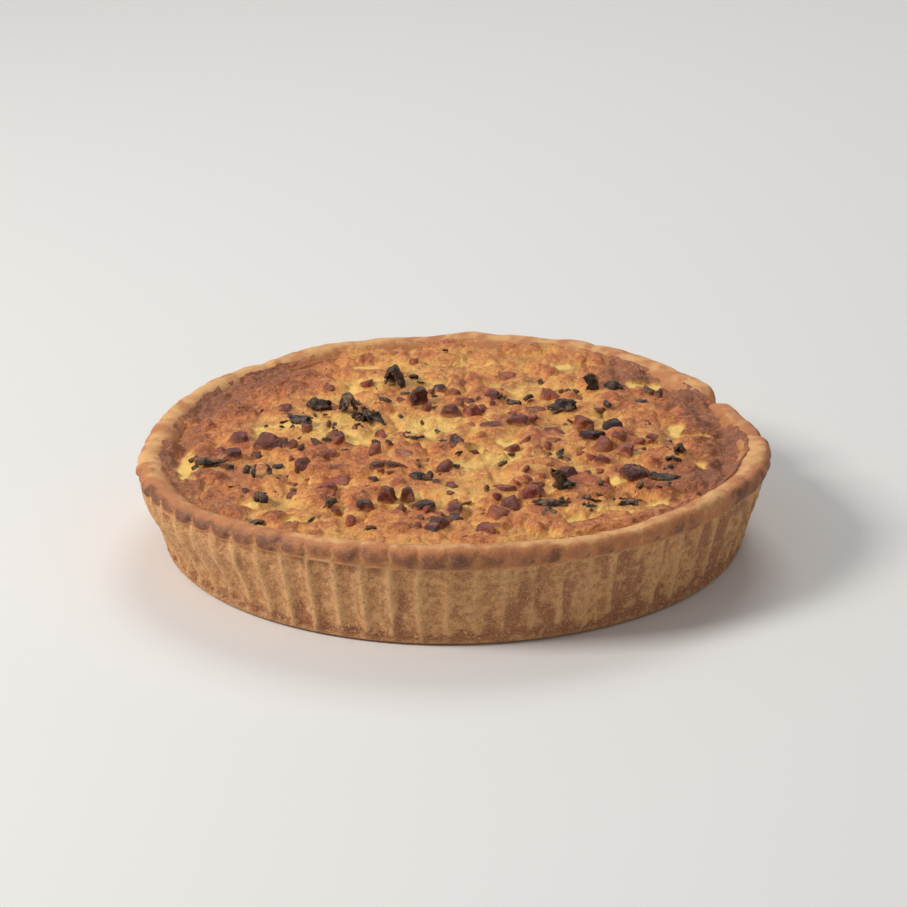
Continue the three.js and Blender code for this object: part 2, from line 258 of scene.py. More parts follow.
class Wiring:
    """Short calls for placing and joining shader nodes in one node tree."""

    def __init__(self, tree):
        self.tree = tree

    def feed(self, socket, value):
        """Joins an output to the socket, or sets the socket to a plain value."""
        if isinstance(value, bpy.types.NodeSocket):
            self.tree.links.new(value, socket)
        else:
            socket.default_value = value

    def node(self, kind, inputs=None, **settings):
        """A new node with its settings, and its inputs fed."""
        made = self.tree.nodes.new("ShaderNode" + kind)
        for key, value in settings.items():
            setattr(made, key, value)
        for key, value in (inputs or {}).items():
            self.feed(made.inputs[key], value)
        return made

    def mix(self, factor, first, second):
        """A blend of two colours: the first where the factor is 0, the second where it is 1."""
        mixer = self.node("Mix", data_type="RGBA")
        self.feed(mixer.inputs[0], factor)
        self.feed(mixer.inputs[6], first)
        self.feed(mixer.inputs[7], second)
        return mixer.outputs[2]

    def tint(self, color, mask, share, shade):
        """The colour carried towards a shade by mask * share."""
        return self.mix(self.math("MULTIPLY", mask, share), color, shade)

    def math(self, operation, first, second):
        """One sum or product of two values."""
        made = self.node("Math", operation=operation)
        self.feed(made.inputs[0], first)
        self.feed(made.inputs[1], second)
        return made.outputs[0]

    def span(self, value, low, high, to_low=0.0, to_high=1.0):
        """A value carried from one span to another, held at the ends, with a smooth bend."""
        made = self.node("MapRange", interpolation_type="SMOOTHSTEP")
        for socket, entry in zip(made.inputs[:5], (value, low, high, to_low, to_high)):
            self.feed(socket, entry)
        return made.outputs[0]

    def attribute(self, name):
        """A number stored on the mesh, between its points."""
        return self.node("Attribute", attribute_name=name).outputs["Fac"]

    def place(self):
        """Object coordinates: where each point lies on the quiche, in metres."""
        return self.node("TexCoord").outputs["Object"]

    def noise(self, vector, scale, detail=3.0, roughness=0.55, distortion=0.0):
        """Cloudy noise from 0 to 1. A scale of 1000 a metre gives clouds of about 1 mm."""
        made = self.node("TexNoise", {
            "Vector": vector, "Scale": scale, "Detail": detail,
            "Roughness": roughness, "Distortion": distortion,
        })
        return made.outputs["Fac"]

    def bump(self, shader, height, strength, distance):
        """Lets a height tilt the surface's normal. The distance is the height's size in metres."""
        made = self.node("Bump", {"Height": height, "Strength": strength, "Distance": distance})
        self.feed(shader.inputs["Normal"], made.outputs[0])


def group_socket(tree, name, kind, in_out, default=None):
    """One named input or output of a node group."""
    socket = tree.interface.new_socket(name, in_out=in_out, socket_type=kind)
    if default is not None:
        socket.default_value = default


def grain_group():
    """Node group: fine light and dark grain, and a height for a Bump node. Its two noises differ
    in size, so the grain looks mixed, and a third, stretched by distortion, makes short fibres."""
    tree = bpy.data.node_groups.new("baked_grain", "ShaderNodeTree")
    group_socket(tree, "Grains per metre", "NodeSocketFloat", "INPUT", 900.0)
    group_socket(tree, "Light", "NodeSocketFloat", "OUTPUT")
    group_socket(tree, "Dark", "NodeSocketFloat", "OUTPUT")
    group_socket(tree, "Height", "NodeSocketFloat", "OUTPUT")
    wire = Wiring(tree)
    given = tree.nodes.new("NodeGroupInput")
    out = tree.nodes.new("NodeGroupOutput")
    density = given.outputs["Grains per metre"]
    place = wire.place()
    fine = wire.noise(place, density, detail=4.0, roughness=0.6)
    coarse = wire.noise(place, wire.math("MULTIPLY", density, 0.37), detail=3.0, distortion=1.2)
    fibres = wire.noise(place, wire.math("MULTIPLY", density, 0.61), detail=2.0, distortion=3.5)
    light = wire.math("ADD", fine, wire.math("MULTIPLY", fibres, 0.5))
    dark = wire.math("ADD", coarse, wire.math("MULTIPLY", fine, 0.4))
    wire.feed(out.inputs["Light"], wire.span(light, 0.76, 0.98))
    wire.feed(out.inputs["Dark"], wire.span(dark, 0.64, 0.44))
    wire.feed(out.inputs["Height"], wire.math("ADD", fine, wire.math("MULTIPLY", coarse, 1.4)))
    return tree


GRAIN = grain_group()


def start_material(name):
    """A new material and the wiring of its node tree. Returns both and the shader node."""
    material = bpy.data.materials.new(name)
    material.use_nodes = True
    return material, Wiring(material.node_tree), material.node_tree.nodes["Principled BSDF"]


def place_grain(wire, grains_per_metre):
    """The grain group placed in a material. Returns its outputs."""
    grain = wire.tree.nodes.new("ShaderNodeGroup")
    grain.node_tree = GRAIN
    grain.inputs["Grains per metre"].default_value = grains_per_metre
    return grain.outputs


def let_light_in(shader, weight, radius, scale):
    """Subsurface light: its share, how far red, green and blue reach in metres, and their scale."""
    shader.inputs["Subsurface Weight"].default_value = weight
    shader.inputs["Subsurface Radius"].default_value = radius
    shader.inputs["Subsurface Scale"].default_value = scale


print("node group:", GRAIN.name, [item.name for item in GRAIN.interface.items_tree])

# %% [markdown]
# ## The pastry
# Shortcrust is pressed into a fluted tin, filled and baked, so its wall is the tin's print: shallow
# hollow channels with a narrow ridge between each two. Above the tin's edge the dough was free: it
# puffed into a rolled rim that hangs over the channels in small lobes.
# It could be sculpted, but the print repeats 72 times, so it is made as one section carried
# round the quiche, with the channels and lobes as functions of the angle.

# %% Read the rim off the CAD crust
def node_points(node):
    """All vertices of a CAD node, in metres."""
    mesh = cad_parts[node].data
    points = np.empty(len(mesh.vertices) * 3, np.float32)
    mesh.vertices.foreach_get("co", points)
    return points.reshape(-1, 3).astype(float)


def angle_of(points):
    """Angle round the quiche in degrees, from the front (-Y) towards the right (+X)."""
    return np.degrees(np.arctan2(points[..., 0], -points[..., 1])) % 360


crust_points = node_points("crust")
CAD_COLUMNS = 216
CAD_FIRST_COLUMN = 0.28             # where the CAD crust's first column lies, in columns
bin_of = np.round(angle_of(crust_points) / 360 * CAD_COLUMNS - CAD_FIRST_COLUMN).astype(int) % CAD_COLUMNS
crest_line = np.zeros(CAD_COLUMNS)
np.maximum.at(crest_line, bin_of, crust_points[:, 2])
edge_line = np.zeros(CAD_COLUMNS)
np.maximum.at(edge_line, bin_of, np.hypot(crust_points[:, 0], crust_points[:, 1]))


def smooth_ring(values, width):
    """Each value replaced by the mean of its neighbours round the ring, weighted by a bell."""
    reach = np.arange(-3 * width, 3 * width + 1)
    bell = np.exp(-0.5 * (reach / width) ** 2)
    return sum(w * np.roll(values, -k) for k, w in zip(reach, bell / bell.sum()))


def read_ring(values, angle):
    """The value at any angle in degrees, from values at even steps round the ring."""
    bins = (np.arange(len(values)) + CAD_FIRST_COLUMN) / len(values) * 360
    return np.interp(angle % 360, bins, values, period=360)


crest_line = smooth_ring(crest_line, 1)
edge_line = smooth_ring(edge_line, 2)
print("crest from", np.round(crest_line.min() / MM, 1), "to", np.round(crest_line.max() / MM, 1), "mm")

# %% The section of the pastry
FLUTES = 72
FIRST_RIDGE = -1.2                  # the angle of the ridge nearest the front, in degrees
COLUMNS = FLUTES * 16
CREST = 42.5                        # height of the rim's crest
# the section from the underside round the outside, in mm: how far out and how high
UNDERSIDE_AND_WALL = [
    (9, 0), (60, 0), (110, 0), (116.8, 0), (119.3, 0.7), (120.5, 2.8), (122.5, 11.5), (124.9, 21.5),
]
RIM_AT_RIDGE = [(127.2, 31.6), (127.9, 35.2), (128.3, 37.6), (128.6, 39.4), (128.1, 41.2), (126.8, 42.2)]
RIM_OVER_CHANNEL = [(127.2, 32.4), (127.4, 34.4), (128.9, 35.2), (130.3, 37.2), (129.9, 39.9), (128.0, 42.0)]
RIM_TOP_AND_INSIDE = [
    (124.8, CREST), (122.4, 42.0), (120.3, 40.9), (118.6, 39.2), (117.2, 36.5), (114, 22), (108, 8), (30, 8),
]
RIM_START, RIM_STOP = 8, 18         # the rim's first and last corner in the lists above
INSIDE_START = 13.6                 # the place between corners at which the rim turns down inside


def smooth_curve(corners, place):
    """A curve through corners. Between corners 1 and 2 of each four it is the cubic whose slope at
    a corner is half the step from the corner before to the corner after."""
    corners = np.asarray(corners, float)
    step = np.clip(np.floor(place).astype(int), 0, len(corners) - 2)
    t = (place - step)[:, None]
    before, start = corners[np.maximum(step - 1, 0)], corners[step]
    end, after = corners[step + 1], corners[np.minimum(step + 2, len(corners) - 1)]
    cubic = 3 * (start - end) + after - before
    square = 2 * before - 5 * start + 4 * end - after
    return start + 0.5 * t * ((end - before) + t * (square + t * cubic))


section_place = np.concatenate([
    np.arange(3), np.linspace(3, 5, 5), np.linspace(5, RIM_START, 35)[1:],
    np.linspace(RIM_START, RIM_STOP, 41)[1:], [19, 20, 21],
])
ridge_section = smooth_curve(UNDERSIDE_AND_WALL + RIM_AT_RIDGE + RIM_TOP_AND_INSIDE, section_place)
channel_section = smooth_curve(UNDERSIDE_AND_WALL + RIM_OVER_CHANNEL + RIM_TOP_AND_INSIDE, section_place)
on_rim = (section_place > RIM_START) & (section_place <= RIM_STOP)
on_wall = (section_place > 4.6) & (section_place <= RIM_START + 0.6)
rim_place = np.clip((section_place - RIM_START) / (RIM_STOP - RIM_START), 0, 1)[:, None]
print("pastry grid:", len(section_place), "rows of", COLUMNS, "points")

# %% The pastry's surface
angle = FIRST_RIDGE + np.arange(COLUMNS) * 360 / COLUMNS
panel = ((angle - FIRST_RIDGE) / 360 * FLUTES) % 1.0
across = 2 * panel - 1              # -1 and 1 on the ridges, 0 in the middle of a channel
flute = np.floor((angle - FIRST_RIDGE) / 360 * FLUTES).astype(int) % FLUTES
luck = np.random.default_rng(72).uniform(-1, 1, (FLUTES, 5))


def degrees_from(middle, at):
    """How far an angle lies past the middle one, the short way round: from -180 to 180."""
    return (at - middle + 180) % 360 - 180


def around(angle_from, angle_to, blend):
    """1 between two angles round the quiche, falling to 0 over a blend to either side."""
    middle, half = (angle_from + angle_to) / 2, (angle_to - angle_from) / 2
    return 1 - soft_step(half, half + blend, np.abs(degrees_from(middle, angle)))


# how far the rim stands out, rises, thickens inward and is pinched thin, as (degrees, width in
# degrees, mm). The dough broke at BREAK_AT.
BREAK_AT = 114
OUTLINE_BULGES = [
    (-137, 26, -2.4), (-100, 16, -1.8), (-60, 20, 3.2), (72, 14, 2.0), (101, 10, -5.6), (BREAK_AT, 5, -3.0),
    (126, 9, -2.4),
]
CREST_BULGES = [
    (-176, 5, -1.2), (-141, 8, -1.0), (-82, 34, -2.4), (0, 34, 0.7), (101, 10, -0.8), (BREAK_AT, 2.6, -1.4),
    (128, 9, -1.4), (151, 7, 1.0),
]
INNER_BULGES = [(-70, 26, 1.0), (72, 12, 2.6), (101, 8, -2.0), (150, 22, 1.4)]
PINCHES = [
    (-138, 1.4, 0.9), (-62, 1.2, 0.6), (58, 1.4, 1.4), (89, 1.6, 2.2), (BREAK_AT, 2.4, 3.2), (150, 1.5, 0.8),
]


def sum_of_bells(bells, at):
    """The heights of bell curves round the quiche, added up."""
    return sum(size * hump(degrees_from(middle, at), 0, width) for middle, width, size in bells)


def outline_push(at):
    """How far the rim and upper wall stand out from a true circle, in mm."""
    return sum_of_bells(OUTLINE_BULGES, at)


def inner_swell(at):
    """How far the rim's inner side stands further in, in mm."""
    return sum_of_bells(INNER_BULGES, at)


def crest_lift(at):
    """How far the crest stands above CREST: the CAD crust's own waves, and the sag on the left."""
    return read_ring(crest_line, at) / MM - CREST + sum_of_bells(CREST_BULGES, at)


crispness = 0.66 + 0.34 * around(-110, -14, 22) - 0.22 * around(-4, 22, 12)
left_side, right_side = around(-110, -18, 25), around(30, 105, 20)
from_ridge = 1 - np.abs(across)


def arch_height():
    """Top of each channel, in mm: half an oval, a little higher or lower from one to the next."""
    return 32.2 + 3.4 * np.sqrt(1 - across**2) + 0.5 * luck[flute, 0]


def pastry_surface():
    """The section carried round, in mm: a mixture of the section at a ridge and the section over a
    channel. The wall steps in by a rounded hollow across each channel, 1 - (1 - d)^2.6 at a
    distance d from the ridge, which ends at the top in an arch. Then the lobes get their own
    sizes, the outline, the upper left wall and the inner side are pushed out or in, the crest
    rises and sags, and the pinches draw the rim together."""
    over_channel = (1 - np.abs(across) ** 2.8) * (0.74 + 0.26 * luck[flute, 2])
    flush = np.maximum(around(-160, -12, 26), 0.8 * around(48, 86, 12))
    smooth_above = soft_step(0.20, 0.45, rim_place - 0.26 * flush) * 0.92
    mixture = ((1 - smooth_above) * over_channel + smooth_above * 0.72)[..., None]
    both = (1 - mixture) * ridge_section[:, None] + mixture * channel_section[:, None]
    radius, height = both[..., 0], both[..., 1]

    closing = soft_step(-0.9, 1.6, arch_height() - height) * soft_step(0.0, 1.6, height)
    rounding = 0.17
    hollow = 1 - (1 - np.sqrt(from_ridge**2 + rounding**2) + rounding) ** 2.6
    depth = 1.75 * crispness * (1 + 0.15 * luck[flute, 1])
    radius = radius - on_wall[:, None] * depth * hollow * closing

    outside = hump(rim_place, 0.30, 0.20) * on_rim[:, None]
    top = hump(rim_place, 0.50, 0.16) * on_rim[:, None]
    crease = hump(from_ridge, 0, 0.18) * around(-112, -14, 24)
    radius = radius + outside * (0.20 * luck[flute, 3] * (1 - across**2) - 0.20 * crease)
    height = height + top * 0.22 * (luck[flute, 4] * (1 - across**2) - crease)

    radius = radius + soft_step(4.0, 36.0, height) * outline_push(angle)
    flare = hump(height, 27.0, 9.0) * (section_place < RIM_START + 2)[:, None]
    radius = radius + 2.2 * flare * around(-112, -48, 24)
    radius = radius - soft_step(0.62, 0.9, rim_place) * inner_swell(angle)
    height = height + on_rim[:, None] * soft_step(0.05, 0.45, rim_place) * crest_lift(angle)
    squeeze = on_rim[:, None] * np.sin(np.pi * rim_place) * sum_of_bells(PINCHES, angle)
    return radius - 0.5 * squeeze, height - 0.6 * squeeze * soft_step(0.3, 0.6, rim_place)


pastry_radius, pastry_height = pastry_surface()


def to_points(radius, height):
    """Radius and height in mm, at each column's angle, as points in metres."""
    turn = np.radians(angle)
    return np.stack([radius * np.sin(turn), -radius * np.cos(turn), height], axis=-1) * MM


def outward_slope(radius, height):
    """Which way the surface faces in its section: the step along the section, turned outward."""
    step_r, step_z = np.gradient(radius, axis=0), np.gradient(height, axis=0)
    size = np.hypot(step_r, step_z) + 1e-9
    return step_z / size, -step_r / size


print("the rim's outermost point:", np.round(pastry_radius.max(), 2), "mm")

# %% [markdown]
# Dough is not as true as a tin. The rim thickens and thins, the wall is grainy, and in places its
# floury skin stayed in the tin and left smooth, darker patches. Near the foot pale crumbs stick.
# These are small moves along the surface's own normal, and the same fields become the attributes
# that colour the pastry.

# %% Unevenness of the pastry
mm_points = to_points(pastry_radius, pastry_height) / MM
upright = mm_points * [1.0, 1.0, 0.35]
wall_weight = on_wall[:, None] * (1 - soft_step(33.0, 35.5, pastry_height)) * (pastry_radius > 117)
rim_weight = on_rim[:, None] * soft_step(33.5, 35.5, pastry_height)
foot_weight = wall_weight * (1 - soft_step(2.5, 8.5, pastry_height + 2.6 * clouds(mm_points, 8, 41)))

bare_field = clouds(upright, 9.0, 12) + 0.30 * around(16, 60, 14) + 0.85 * foot_weight - 0.12 * left_side
bare_field -= 0.25 * soft_step(0.7, 1.0, np.abs(across)) * crispness
bare = wall_weight * soft_step(0.14, 0.40, bare_field)
lace = 1 - soft_step(0.0, 0.16, np.abs(cloud(upright * [1, 1, 1.3], 6.0, 15)))
lace *= wall_weight * right_side * 0.8
clots = cloud(mm_points, 1.9, 51) + 0.6 * cloud(mm_points, 3.4, 52)
crumbs = wall_weight * soft_step(0.50, 0.85, clots + 0.25 * foot_weight)

push_out = wall_weight * (0.20 * clouds(mm_points, 4.5, 21) + 0.12 * cloud(mm_points, 1.7, 22))
push_out += rim_weight * (0.75 * clouds(mm_points, 14.0, 23, 2) + 0.26 * clouds(mm_points, 4.2, 24, 2))
push_out += 0.30 * crumbs - 0.16 * bare + 0.16 * lace
face_r, face_z = outward_slope(pastry_radius, pastry_height)
pastry_radius = pastry_radius + push_out * face_r
pastry_height = np.maximum(pastry_height + push_out * face_z, 0.0)
print("unevenness from", np.round(push_out.min(), 2), "to", np.round(push_out.max(), 2), "mm")

# %% Browning and painted shade of the pastry
# how far over the rim, from its outer foot (0) to its inner foot (1), and how brown it is there: toasting,
# with painted shade darkening the rim's underside and lower outer side from about 0.1 to 0.32
TOAST_AND_SHADE_ALONG_RIM = [
    (0.0, 0.50), (0.10, 0.70), (0.22, 0.78), (0.32, 0.74), (0.42, 0.56), (0.54, 0.22), (0.75, 0.26),
    (0.90, 0.50), (1.0, 0.6),
]
toast_and_shade = rim_weight * np.interp(rim_place, *zip(*TOAST_AND_SHADE_ALONG_RIM))
toast_and_shade *= 1 - 0.34 * around(-140, -82, 18) - 0.15 * right_side
on_left = around(-120, -16, 22)
toast_and_shade *= 1 - 0.42 * on_left * soft_step(0.26, 0.06, rim_place)
left_front = rim_weight * around(-66, -18, 16)
toast_and_shade += 0.26 * left_front * hump(rim_place, 0.42, 0.20)
toast_and_shade -= 0.20 * left_front * hump(rim_place, 0.18, 0.14)
toast_and_shade += 0.34 * rim_weight * around(64, 96, 10) * soft_step(0.75, 0.35, rim_place)
lobe_middle = (1 - np.abs(across) ** 3) * (0.7 + 0.3 * luck[flute, 3])
between = hump(from_ridge, 0, 0.22)
toast_and_shade += rim_weight * hump(rim_place, 0.26, 0.14) * (0.22 * (lobe_middle - 0.4) - 0.14 * between)
toast_and_shade += rim_weight * (0.34 * clouds(mm_points, 12.0, 31) + 0.26 * clouds(mm_points, 3.6, 32))
toast_and_shade += 0.12 * clouds(upright, 10.0, 34) * wall_weight

# painted shade: near-black dots at the top of each channel, in the hollow under the rim's lobes
spot_across = across - (0.55 + 0.35 * luck[flute, 0])
spot_height = pastry_height - (36.8 + 0.8 * luck[flute, 4])
arch_shade_dots = np.exp(-((spot_across / 0.20) ** 2) - (spot_height / 0.85) ** 2) * (pastry_radius > 124)
arch_shade_dots *= soft_step(-0.1, 0.5, luck[flute, 2]) * around(-70, 100, 15)

# painted highlight: the ridges, the arch at each channel's top and the rim's crest are painted paler; the
# lace and the clouds are pale flour
ridge = wall_weight * soft_step(0.50, 0.92, np.abs(across)) * (0.30 + 0.70 * crispness)
arch_line = hump(pastry_height - arch_height(), 0.3, 0.5) * (1 - soft_step(0.8, 1.0, crispness))
arch_line *= on_wall[:, None] * soft_step(36.0, 34.4, pastry_height)
flour_and_highlight = 0.80 * ridge + 0.6 * arch_line + 0.8 * lace + 0.35 * clouds(upright, 6.0, 33) * wall_weight
flour_and_highlight += 0.25 * rim_weight * hump(rim_place, 0.56, 0.07)
seam = between * soft_step(0.40, 0.22, rim_place)

pastry_attributes = {
    "toast_and_shade": np.clip(toast_and_shade, 0, 1),
    "bare": np.clip(bare, 0, 1),
    "arch_shade_dots": np.clip(arch_shade_dots, 0, 1),
    "flour_and_highlight": np.clip(flour_and_highlight, 0, 1),
    "crumbs": np.clip(crumbs, 0, 1),
    "rim": np.clip(rim_weight * (1 - (0.25 + 0.6 * on_left) * seam), 0, 1),
    "inner": rim_weight * soft_step(0.66, 0.92, rim_place),
}
print("browning on the rim:", np.round(pastry_attributes["toast_and_shade"][on_rim].mean(), 2))

# %% Finish of the pastry
def pastry_material():
    """Tan crumb, paler on the ridges from a painted highlight, red-brown where bare, dark brown on the rim
    from toasting and painted shade under it, near-black painted shade dots under the lobes, pale flour, and
    grain over all of it."""
    material, wire, shader = start_material("baked_pastry")
    grain = place_grain(wire, 1500.0)
    place = wire.place()
    patches = wire.noise(place, 320.0, detail=5.0, roughness=0.7)
    rusty = wire.noise(place, 240.0, detail=5.0, roughness=0.65, distortion=0.8)

    color = wire.mix(wire.span(patches, 0.36, 0.64), srgb(222, 164, 106), srgb(178, 120, 74))
    color = wire.tint(color, wire.span(rusty, 0.50, 0.66), 0.45, srgb(192, 116, 66))
    # pale flour, with a painted highlight on the ridges, the channel tops and the crest
    color = wire.tint(color, wire.attribute("flour_and_highlight"), 0.70, srgb(226, 176, 120))
    color = wire.tint(color, wire.attribute("bare"), 0.78, srgb(156, 94, 64))
    # toasting, and painted shade under the rim: from golden to dark brown
    golden = wire.span(wire.attribute("toast_and_shade"), 0.05, 0.45)
    brown = wire.span(wire.attribute("toast_and_shade"), 0.45, 1.1)
    rim_color = wire.mix(golden, srgb(226, 172, 112), srgb(192, 122, 74))
    rim_color = wire.mix(brown, rim_color, srgb(110, 60, 36))
    rim_color = wire.tint(rim_color, wire.attribute("inner"), 0.5, srgb(196, 132, 84))
    color = wire.mix(wire.attribute("rim"), color, rim_color)
    fine = wire.math("SUBTRACT", 1.0, wire.math("MULTIPLY", wire.attribute("rim"), 0.62))
    color = wire.tint(color, wire.math("MULTIPLY", grain["Dark"], fine), 0.76, srgb(122, 76, 44))
    color = wire.tint(color, wire.math("MULTIPLY", grain["Light"], fine), 0.72, srgb(236, 196, 142))
    color = wire.tint(color, wire.attribute("crumbs"), 0.6, srgb(226, 176, 122))
    # painted shade dots at the channel tops under the lobes
    color = wire.tint(color, wire.attribute("arch_shade_dots"), 0.85, srgb(50, 42, 38))
    wire.feed(shader.inputs["Base Color"], color)
    wire.feed(shader.inputs["Roughness"], wire.span(wire.attribute("toast_and_shade"), 0.2, 1.0, 0.74, 0.52))

    relief = wire.math("MULTIPLY", grain["Height"], wire.math("ADD", 0.15, fine))
    wire.bump(shader, relief, 0.8, 0.0006)
    let_light_in(shader, 0.06, (0.004, 0.002, 0.001), 0.4)
    return material


pastry = ring_piece("pastry", to_points(pastry_radius, pastry_height), pastry_attributes, pastry_material())
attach(pastry, "root")
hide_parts("crust")
print("pastry triangles:", sum(len(face.vertices) - 2 for face in pastry.data.polygons))

# %% [markdown]
# ## Where the toppings lie
# The custard rises a little round each topping, so the toppings' places are needed first. They
# are measured on the CAD nodes: the middle and size of each node's box in plan, along the
# direction in which the piece is longest.

# %% Measure the toppings
def measure_topping(node):
    """Middle, direction, half length, half width, foot and top of a topping, in mm. The direction
    is the plan's principal axis: the eigenvector of the points' covariance."""
    points = node_points(node) / MM
    plan = points[:, :2]
    middle = (plan.min(axis=0) + plan.max(axis=0)) / 2
    spread = np.cov((plan - middle).T)
    values, vectors = np.linalg.eigh(spread)
    along = vectors[:, np.argmax(values)]
    side = np.array([-along[1], along[0]])
    reach = (plan - middle) @ np.stack([along, side], axis=1)
    offset = (reach.min(axis=0) + reach.max(axis=0)) / 2
    half = (reach.max(axis=0) - reach.min(axis=0)) / 2
    return {
        "middle": middle + offset[0] * along + offset[1] * side,
        "along": along,
        "side": side,
        "half": half,
        "low": points[:, 2].min(),
        "high": points[:, 2].max(),
    }


bacon_nodes = sorted(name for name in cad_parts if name.startswith("bacon"))
leek_nodes = sorted(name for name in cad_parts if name.startswith("leek"))
toppings = {name: measure_topping(name) for name in bacon_nodes + leek_nodes}
print(len(bacon_nodes), "bacon dice and", len(leek_nodes), "leek pieces measured")

# %% [markdown]
# ## The custard
# Egg custard with cheese puffs up as it bakes. Its skin blisters, browns on the high places and stays
# yellow in the low ones, and it is darkest along the rim, where the fat fries it. Here and there the
# skin has torn and shows smooth pale custard.
# The skin is a height above each point of a disc. A square grid is pressed into the disc, so that
# the points lie evenly and there is no crowded pole in the middle.

# %% A disc of evenly spread points
SKIN_SIDE = 301
SKIN_RADIUS = 121.0
SPILL = [(BREAK_AT, 3.0, 4.0)]      # where the skin runs out through the break, as a bell


def skin_edge_radius(at):
    """Radius of the skin's edge at an angle, in mm: it laps raggedly over the rim's inner side, and
    spills out through the break in the rim."""
    turn = np.radians(at)
    ring = SKIN_RADIUS * np.stack([np.sin(turn), -np.cos(turn), 0 * turn], axis=-1)
    ragged = 1.5 * clouds(ring, 9.0, 78, 3) + 0.9 * clouds(ring, 2.4, 79, 2)
    return SKIN_RADIUS + ragged + outline_push(at) - inner_swell(at) + sum_of_bells(SPILL, at)


inside_radius, inside_height = ridge_section[section_place >= INSIDE_START].T


def rim_inside_height(radius, at):
    """Height of the rim's inner side at a place, in mm, read off the pastry's section."""
    in_section = radius - outline_push(at) + inner_swell(at)
    return np.interp(-in_section, -inside_radius, inside_height) + crest_lift(at)


def disc_points(side):
    """A square grid pressed into a disc: x = u * sqrt(1 - v^2 / 2) and y = v * sqrt(1 - u^2 / 2)."""
    u, v = np.meshgrid(np.linspace(-1, 1, side), np.linspace(-1, 1, side), indexing="xy")
    return np.stack([u * np.sqrt(1 - v**2 / 2), v * np.sqrt(1 - u**2 / 2)], axis=-1)


disc = disc_points(SKIN_SIDE)
skin = disc * skin_edge_radius(angle_of(disc))[..., None]
print("skin spacing:", np.round(np.ptp(skin[..., 0]) / SKIN_SIDE, 2), "mm")

# %% The long waves, read off the CAD filling
filling_points = node_points("filling") / MM
skin_corners = np.unique(np.round(filling_points[filling_points[:, 2] > 30], 3), axis=0)
BLOCKS = 64                         # so that no array of places against corners grows too large


def cad_skin_height(plan, width=8.0):
    """Height of the CAD filling at any places: the mean height of its corners, weighted by a bell
    of the distance, exp(-d^2 / (2 * width^2)). It is worked out for a block of places at a time."""
    heights = []
    for block in np.array_split(plan.reshape(-1, 2), BLOCKS):
        squared = ((block[:, None] - skin_corners[:, :2]) ** 2).sum(axis=-1)
        weight = np.exp(-squared / (2 * width**2))
        heights.append(weight @ skin_corners[:, 2] / (weight.sum(axis=1) + 1e-9))
    return np.concatenate(heights).reshape(plan.shape[:-1])


long_waves = cad_skin_height(skin)
print(len(skin_corners), "corners on top of the CAD filling")
print("custard level from", np.round(long_waves.min(), 1), "to", np.round(long_waves.max(), 1), "mm")

# %% [markdown]
# The torn places and the large blisters are few and each has its own place, so they are lists: how
# far right and back of the middle, how long and how deep, all in millimetres. So are the pools,
# broad low places where the skin stayed thin and yellow. A noisy edge keeps them from looking
# stamped.

# %% Torn places, blisters and pools
TORN = [
    (-109, -25, 7, 38), (-81, -72, 9, 6), (-60, -90, 17, 5), (-71, 14, 20, 7), (-38, 91, 12, 5),
    (-10, 8, 12, 9), (9, -18, 7, 8), (47, 88, 11, 5), (82, 68, 22, 7), (92, 8, 6, 15),
    (100, 1, 14, 5), (98, -36, 7, 10), (79, -74, 8, 6), (47, -91, 12, 7), (62, -84, 15, 6),
    (64, 62, 10, 5), (3, 40, 11, 4), (64, -50, 9, 8), (-44, -3, 14, 8), (22, -5, 9, 6),
]
BLISTERS = [
    (-108, 8, 13, 12), (101, -14, 14, 10), (107, -27, 7, 11), (-73, 61, 11, 8), (38, 86, 9, 8),
    (-57, 77, 10, 7), (-88, 64, 10, 8), (-93, 34, 14, 10), (-102, 22, 10, 9), (5, 82, 14, 7),
    (78, -26, 16, 12), (80, -61, 18, 9), (69, 0, 12, 8), (54, -22, 10, 7), (94, 36, 11, 8),
    (-70, -88, 20, 7), (-62, -24, 11, 7), (35, -100, 18, 7), (98, -55, 12, 8), (-20, -104, 14, 6),
]
POOLS = [
    (-58, 8, 62, 34), (0, 22, 46, 30), (-103, -28, 14, 44), (20, -20, 40, 26), (60, -84, 46, 14),
    (-30, 68, 50, 16),
]


def oval_depth(plan, places, ragged):
    """How deep inside any of the ovals a place lies: 1 - d * |d| for the nearest, where d is 1 on
    the oval's edge, with a ragged field added to d."""
    best = np.full(plan.shape[:-1], -9.0)
    for x, y, length, depth in places:
        d = np.hypot((plan[..., 0] - x) / (length / 2), (plan[..., 1] - y) / (depth / 2)) + ragged
        best = np.maximum(best, 1 - d * np.abs(d))
    return best


def topping_distance(plan):
    """Distance in mm from each place to the nearest topping's box in plan: 0 inside."""
    nearest = np.full(plan.shape[:-1], 99.0)
    for topping in toppings.values():
        reach = plan - topping["middle"]
        past_end = np.maximum(np.abs(reach @ topping["along"]) - 0.85 * topping["half"][0], 0)
        past_side = np.maximum(np.abs(reach @ topping["side"]) - 0.85 * topping["half"][1], 0)
        nearest = np.minimum(nearest, np.hypot(past_end, past_side))
    return nearest


def side_weight(plan_angle):
    """1 along the left and the right of the quiche, where the skin sank beside the rim."""
    left = np.abs(degrees_from(-100, plan_angle))
    right = np.abs(degrees_from(96, plan_angle))
    return 1 - soft_step(34, 62, np.minimum(left, right))


print(len(TORN), "torn places,", len(BLISTERS), "blisters and", len(POOLS), "pools")

